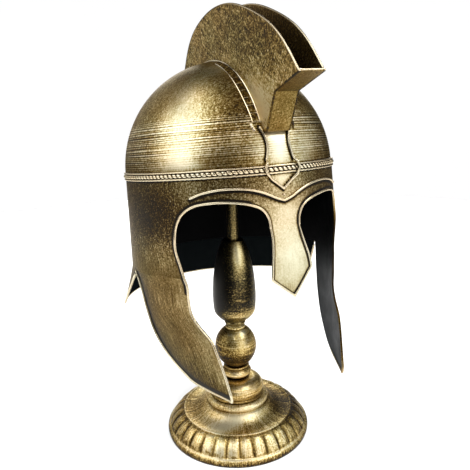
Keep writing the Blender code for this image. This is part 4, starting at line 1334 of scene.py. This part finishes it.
def make_ladders(looks):
    """Two rails and a tab, a dark bed and its rungs; the inner rail goes on as a seam."""
    rail = STRIP_RAIL / 2
    inner, outer = rail / STRIP_WIDTH, 1.0 - rail / STRIP_WIDTH
    end = strip_rise(STRIP_CELLS)
    rises = [STRIP_START + (end + STRIP_OVERRUN - STRIP_START) * step / 90 for step in range(91)]
    seam = slanted(end + SEAM_START, 0.0)
    bed = ((inner, -2 * BED_HEIGHT), (inner, BED_HEIGHT), (0.5, BED_HEIGHT), (outer, BED_HEIGHT),
           (outer, -2 * BED_HEIGHT))
    for side, sign in SIDES:
        shape = Shape()
        for across, size in ((inner, INNER_RAIL), (outer, 1.0)):
            path = [ladder_point(across, rise, STRIP_HEIGHT - rail * size, sign) for rise in rises]
            if across == inner:
                path += [mirror_x(foot_point(CREST_HALF_WIDTH + GAP + rail,
                                             seam + (SEAM_END - seam) * step / 40, rail * 0.7), sign)
                         for step in range(1, 41)]
            add_wire(shape, path, rail * size, 8, share=0.14, pitch=0.006)
        tab = [mirror_x(face_skin(x, z, TAB_THICKNESS / 2), sign) for x, z in smooth_curve(TAB, 6)]
        shape.loop(wire_rings(tab, TAB_WIDTH / 2, 8, depth=TAB_THICKNESS / 2,
                              swell=lambda index: uneven(tab[index], 0.2, 0.003)))
        shape.material = 2
        for cell in range(STRIP_CELLS + 1):
            path = [ladder_point(inner + (outer - inner) * share, strip_rise(cell) + RUNG_SETBACK,
                                 RUNG_RADIUS, sign) for share in spread(6)]
            add_wire(shape, path, RUNG_RADIUS, 6, share=0.5, pitch=0.003)
        shape.material = 1
        shape.loop([[ladder_point(across, rise, out, sign) for across, out in bed]
                    for rise in rises])
        shape.rub_and_paint_light(LADDER_TAB_PAINTED_SHADE)
        shape.finish("ladder_" + side, "crest_brass", ["crest_strip_" + side], looks)


# ---------------------------------------------------------------- stand

def add_turned(name, profile, height, look, node, places):
    """Turned piece: profile rows are (radius, height above its own foot), from the foot up."""
    shape = Shape()
    shape.loop([ring(radius, height + rise, TURNED_SIDES) for radius, rise in profile])
    shape.rub_and_paint_light(places)
    shape.finish(name, "stand_brass", [node], [look], place=UPRIGHT, crease=30.0)


def across_lobe(turn):
    """0 on a lobe's middle line, 1 on the line between two lobes."""
    return abs(2.0 * ((turn * LOBES / (2 * math.pi)) % 1.0) - 1.0)


def lobe_wash_and_shade(point):
    """Wash and painted shade at a point of the foot: wash between the lobes that spreads as painted
    shade over their flanks, painted shadow over their tops, darker at their feet, and less on the
    bead.
    """
    radius = math.hypot(point.x, point.y)
    ragged = 0.16 * noise.noise(point / 0.005)
    lobed = smooth_step(radius, *LOBES_INNER) * (1.0 - smooth_step(radius, *LOBES_OUTER))
    gap = smooth_step(across_lobe(math.atan2(point.y, point.x)) + ragged, 0.50, 1.0)
    top = 1.0 - smooth_step(radius + 0.018 * ragged, 0.0664, 0.0704)
    bottom = smooth_step(radius + 0.018 * ragged, 0.0784, 0.0804)
    bead = 1.0 - smooth_step(abs(radius - FOOT_BEAD_RADIUS), 0.0004, 0.0010)
    return lobed * max(0.36 * gap, 0.12 * top, 0.26 * bottom) - 0.20 * bead


def make_base(look):
    """Foot: plain rim, ring of raised lobes, dished plate and rounded step under the bell."""
    rim = [(0.0834, 0.0)] + arc((0.0826, 0.0036), (0.0016, 0.0034), -70, 80, 8)
    rim += [(0.0822, 0.0076), (0.0812, 0.0079)]
    lobed = smooth_curve((  # radius, rise, depth, width
        (0.0812, 0.0082, 0.25, 0.90), (0.0806, 0.0090, 0.7, 0.92), (0.0798, 0.0106, 0.95, 0.94),
        (0.0784, 0.0134, 1.0, 0.94), (0.0762, 0.0168, 1.0, 0.94), (0.0738, 0.0197, 1.0, 0.93),
        (0.0712, 0.0222, 1.0, 0.90), (0.0694, 0.0235, 0.9, 0.84), (0.0680, 0.0243, 0.6, 0.72),
        (0.0668, 0.0248, 0.2, 0.60)), 3)
    plain = [(0.0652, 0.0248), (0.0642, 0.0250)]
    plain += arc((FOOT_BEAD_RADIUS, 0.0258), (0.0010, 0.0012), -40, 150, 6)
    plain += [(0.0616, 0.0262), (0.0590, 0.0260), (0.0555, 0.0264), (0.0520, 0.0271),
              (0.0485, 0.0283), (0.0450, 0.0300), (0.0420, 0.0322), (0.0395, 0.0346),
              (0.0376, 0.0356), (0.0362, 0.0359)]
    plain += arc((0.0344, 0.0392), (0.0022, 0.0032), -62, 62, 8)
    plain += [(0.0340, 0.0430), (0.0316, 0.0440)]
    rows = [(*row, 0.0, 1.0) for row in rim] + lobed + [(*row, 0.0, 1.0) for row in plain]
    rings = []
    for radius, rise, depth, width in rows:
        rings.append([])
        for way in ring(1.0, 0.0, LOBES * 14):
            across = min(1.0, across_lobe(math.atan2(way.y, way.x)) / width)
            swell = LOBE_DEPTH * depth * (math.sqrt(1.0 - across ** 2.8) - 1.0)
            rings[-1].append(way * (radius + swell) + Vector((0.0, 0.0, rise + 0.6 * swell)))
    shape = Shape()
    shape.loop(rings)
    for vert in shape.mesh.verts:
        vert[shape.wash_and_shade] = lobe_wash_and_shade(vert.co)
    shape.rub_and_paint_light(FOOT_WEAR_AND_PAINTED_LIGHT)
    shape.finish("foot", "stand_brass", ["stand_base"], [look], place=UPRIGHT, crease=32.0)


def make_column(look, vase_look):
    """The turned pieces above the foot, each with its own profile."""
    bell = [(0.0306, 0.0), (0.0314, 0.0006), (0.0316, 0.0014), (0.0310, 0.0022)]
    bell += arc((0.0140, 0.0075), (0.0174, 0.0135), -20, 88, 22) + [(0.0120, 0.0217)]
    add_turned("bell", bell, BELL_Z, look, "stand_bell", TURNED_WEAR_AND_PAINTED_LIGHT)

    collar = arc((0.0118, 0.0052), (0.0056, 0.0048), -75, 62, 16) + [(0.0132, 0.0106)]
    collar += [(0.0136, 0.0111)] + arc((0.0138, 0.0128), (0.0012, 0.0012), -80, 80, 8)
    add_turned("collar", collar, COLLAR_Z, look, "stand_collar", TURNED_WEAR_AND_PAINTED_LIGHT)

    ball = arc((0.0, 0.0235), (0.0240, 0.0262), -62, 60, 40)
    ball += [(0.0113, 0.0466), (0.0110, 0.0476), (0.0112, 0.0488)]
    add_turned("ball", ball, BALL_Z, look, "stand_ball", TURNED_WEAR_AND_PAINTED_LIGHT)

    foot = [(0.0106, 0.0), (0.0108, 0.0010), (0.0103, 0.0018), (0.0108, 0.0028), (0.0120, 0.0038),
            (0.0123, 0.0046), (0.0117, 0.0055), (0.0114, 0.0062), (0.0120, 0.0070)]
    body = smooth_curve(((0.0136, 0.0079), (0.0172, 0.0104), (0.0200, 0.0134), (0.0226, 0.0168),
                         (0.0238, 0.0210), (0.0245, 0.0300), (0.0246, 0.0400), (0.0240, 0.0510),
                         (0.0228, 0.0630), (0.0206, 0.0760), (0.0174, 0.0884), (0.0138, 0.0978),
                         (0.0116, 0.1024)), 4)
    add_turned("vase", foot + body + [(0.0100, 0.1027)], VASE_Z, vase_look, "stand_vase",
               VASE_WEAR_AND_PAINTED_LIGHT)

    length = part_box("stand_post")[1].z - POST_Z
    post = [(POST_RADIUS, 0.0), (POST_RADIUS, length - 0.0012), (POST_RADIUS - 0.0012, length)]
    add_turned("post", post, POST_Z, vase_look, "stand_post", VASE_WEAR_AND_PAINTED_LIGHT)


# ---------------------------------------------------------------- studio

def make_camera():
    """Camera of the studio shot, turned about Z, then tilted down and rolled about its own axes."""
    data = bpy.data.cameras.new("camera")
    data.sensor_width = 36.0
    data.lens = CAMERA_LENS
    turn, tilt, roll = (Matrix.Rotation(math.radians(angle), 4, axis)
                        for angle, axis in ((CAMERA_TURN, "Z"), (90.0 - CAMERA_DOWN, "X"),
                                            (CAMERA_ROLL, "Z")))
    place = Matrix.Translation(CAMERA_PLACE) @ turn @ tilt @ roll
    bpy.context.scene.camera = add_object("camera", data, place)


def add_stage(name, shape, look):
    """A piece of the studio, which is no part of the helmet."""
    piece = add_mesh(name, shape, [look])
    return piece


def make_floor():
    """Round pale table top, with a white backdrop round it that only the camera sees."""
    finish = Finish("table_white")
    cloud = finish.noise(finish.place(False), 3.0)
    finish.set(Base_Color=finish.blend(cloud, (0.86, 0.86, 0.86), (0.90, 0.90, 0.90)), Roughness=0.9)
    table = bmesh.new()
    bmesh.ops.create_circle(table, cap_ends=True, segments=TABLE_SIDES, radius=TABLE_RADIUS)
    add_stage("floor", table, finish.material)

    glow = Finish("backdrop_white")
    cloud = glow.noise(glow.place(False), 2.0)
    glow.set(Base_Color=(0.0, 0.0, 0.0, 1.0), Roughness=1.0, Emission_Strength=1.0,
             Emission_Color=glow.blend(cloud, (1.0, 1.0, 1.0), (0.98, 0.98, 0.98)))
    wall = bmesh.new()
    low, high = ([wall.verts.new(point) for point in ring(TABLE_RADIUS, z, BACKDROP_SIDES)]
                 for z in (0.0, BACKDROP_HEIGHT))
    for index in range(BACKDROP_SIDES):
        wall.faces.new((low[index], low[index - 1], high[index - 1], high[index]))
    backdrop = add_stage("backdrop", wall, glow.material)
    backdrop.visible_glossy = False
    backdrop.visible_diffuse = False


def make_world():
    """Dim, even room."""
    world = bpy.data.worlds.new("studio")
    world.use_nodes = True
    bpy.context.scene.world = world
    background = world.node_tree.nodes["Background"]
    background.inputs["Color"].default_value = (1.0, 1.0, 1.0, 1.0)
    background.inputs["Strength"].default_value = WORLD_LEVEL


def add_light(data, aim, away, distance):
    """Place a light at a distance from where it aims, in the direction away."""
    turn = away.to_track_quat("Z", "Y").to_matrix().to_4x4()
    return add_object(data.name, data, Matrix.Translation(aim + away * distance) @ turn)


def make_lights():
    """Soft boxes round the helmet's middle, and a soft spot on the stand's foot under it."""
    for name, azimuth, elevation, distance, width, height, strength in LIGHTS:
        turn, up = math.radians(azimuth), math.radians(elevation)
        away = Vector((math.sin(turn) * math.cos(up), -math.cos(turn) * math.cos(up), math.sin(up)))
        data = bpy.data.lights.new(name, "AREA")
        data.shape = "RECTANGLE"
        data.size = width
        data.size_y = height
        data.energy = strength * width * height * math.pi
        light = add_light(data, LIGHTS_AIM, away, distance)
        light.visible_glossy = name not in FLOOR_ONLY

    data = bpy.data.lights.new("foot_spot", "SPOT")
    data.energy = FOOT_LIGHT
    data.spot_size = math.radians(FOOT_LIGHT_ANGLE)
    data.spot_blend = 0.6
    data.shadow_soft_size = 0.22
    add_light(data, FOOT_LIGHT_AIM, FOOT_LIGHT_AWAY, FOOT_LIGHT_DISTANCE)


def main():
    make_camera()
    wires = {"face": face_path(), "neck": neck_path(), "brow": brow_path(), "shield": shield_path()}

    lining = black_paint("black_lining")
    cheek_lining = black_paint("grey_black_lining", lower_grey=(0.034, 0.036, 0.037))
    neck_lining = black_paint("blue_black_lining", (0.0034, 0.0044, 0.0047), 0.6, gloss=0.0)
    dome_look = brass("dome_brass", bright=0.45, mottling=0.55, brushed=(
        partial(spun, strength=1.3, low=0.006, high=0.050, pitch=900.0, run=5.0),
        partial(ringed, strength=0.55, low=0.008, high=0.050, pitch=0.0021),
        partial(hatched, strength=0.5, axis="Y", turns=(25.0, -50.0))))
    face_look = brass("face_brass", bright=0.36, wash=PALE_WASH, mottling=0.65, rough=(0.52, 0.36),
                      brushed=(partial(along_flow, strength=0.7, top=-0.060),), still_below=-0.070)
    crest_look = brass("crest_brass", bright=0.44, wash=GOLD_WASH, mottling=0.55, polish=1.5,
                       brushed=(partial(hatched, strength=0.9),), rough=(0.52, 0.38))
    fold_look = brass("fold_brass", bright=0.46, mottling=0.35, rough=(0.50, 0.38), groove=0.25)
    inside_look = brass("crest_inside", bright=0.38, mottling=0.6)
    drawn = {"wash": WIRE_WASH, "broad": 0.12, "rough": (0.38, 0.25)}
    wire_look = brass("wire_brass", bright=0.79, mottling=0.25, groove=0.4, groove_reach=0.002,
                      **drawn)
    bead_look = brass("bead_brass", bright=0.84, mottling=0.20, groove=1.1, groove_reach=0.0010,
                      **drawn)
    rail_look = brass("rail_brass", bright=0.92, mottling=0.25, groove=0.2, **drawn)
    bed_look = brass("ladder_bed", bright=0.40, mottling=0.9, grain=260.0, groove=0.8)
    rung_look = brass("rung_brass", bright=0.66, wash=WIRE_WASH, rough=(0.46, 0.34))
    foot_look = brass("foot_brass", helmet=False, bright=0.76, wash=GOLD_WASH, mottling=0.6,
                      polish=1.5, metal=0.85, rough=(0.50, 0.38), groove=0.6,
                      groove_reach=0.002, brushed=(partial(radial, strength=1.1),))
    turned_look = brass("turned_brass", helmet=False, bright=0.58, wash=GOLD_WASH, mottling=0.5,
                        polish=1.2, rough=(0.48, 0.36), groove=0.7, brushed=(
                            partial(radial, strength=0.4, count=40.0),
                            partial(spun, strength=1.0, low=0.0, high=0.14, pitch=700.0,
                                    run=40.0)))
    # the vase and the post are kept dark, partly as painted shade of the helmet over them
    vase_look = brass("vase_brass", helmet=False, bright=0.20, wash=DULL_WASH, mottling=0.5,
                      rough=(0.42, 0.31), groove=0.3, brushed=(
                          partial(spun, strength=0.7, low=0.12, high=0.20, pitch=700.0,
                                  run=60.0),))

    make_dome([dome_look, lining], wires["shield"])
    make_brow_wall([face_look, lining], wires)
    make_cheeks([face_look, cheek_lining])
    make_neck_guard([face_look, neck_lining], wires["neck"])
    make_band(wire_look, bead_look)
    make_wires([wire_look], wires)
    make_crest(crest_look, fold_look, inside_look, wire_look)
    make_ladders([rail_look, bed_look, rung_look])
    make_base(foot_look)
    make_column(turned_look, vase_look)

    make_floor()
    make_world()
    make_lights()
    bpy.context.scene.view_settings.view_transform = "Standard"


main()
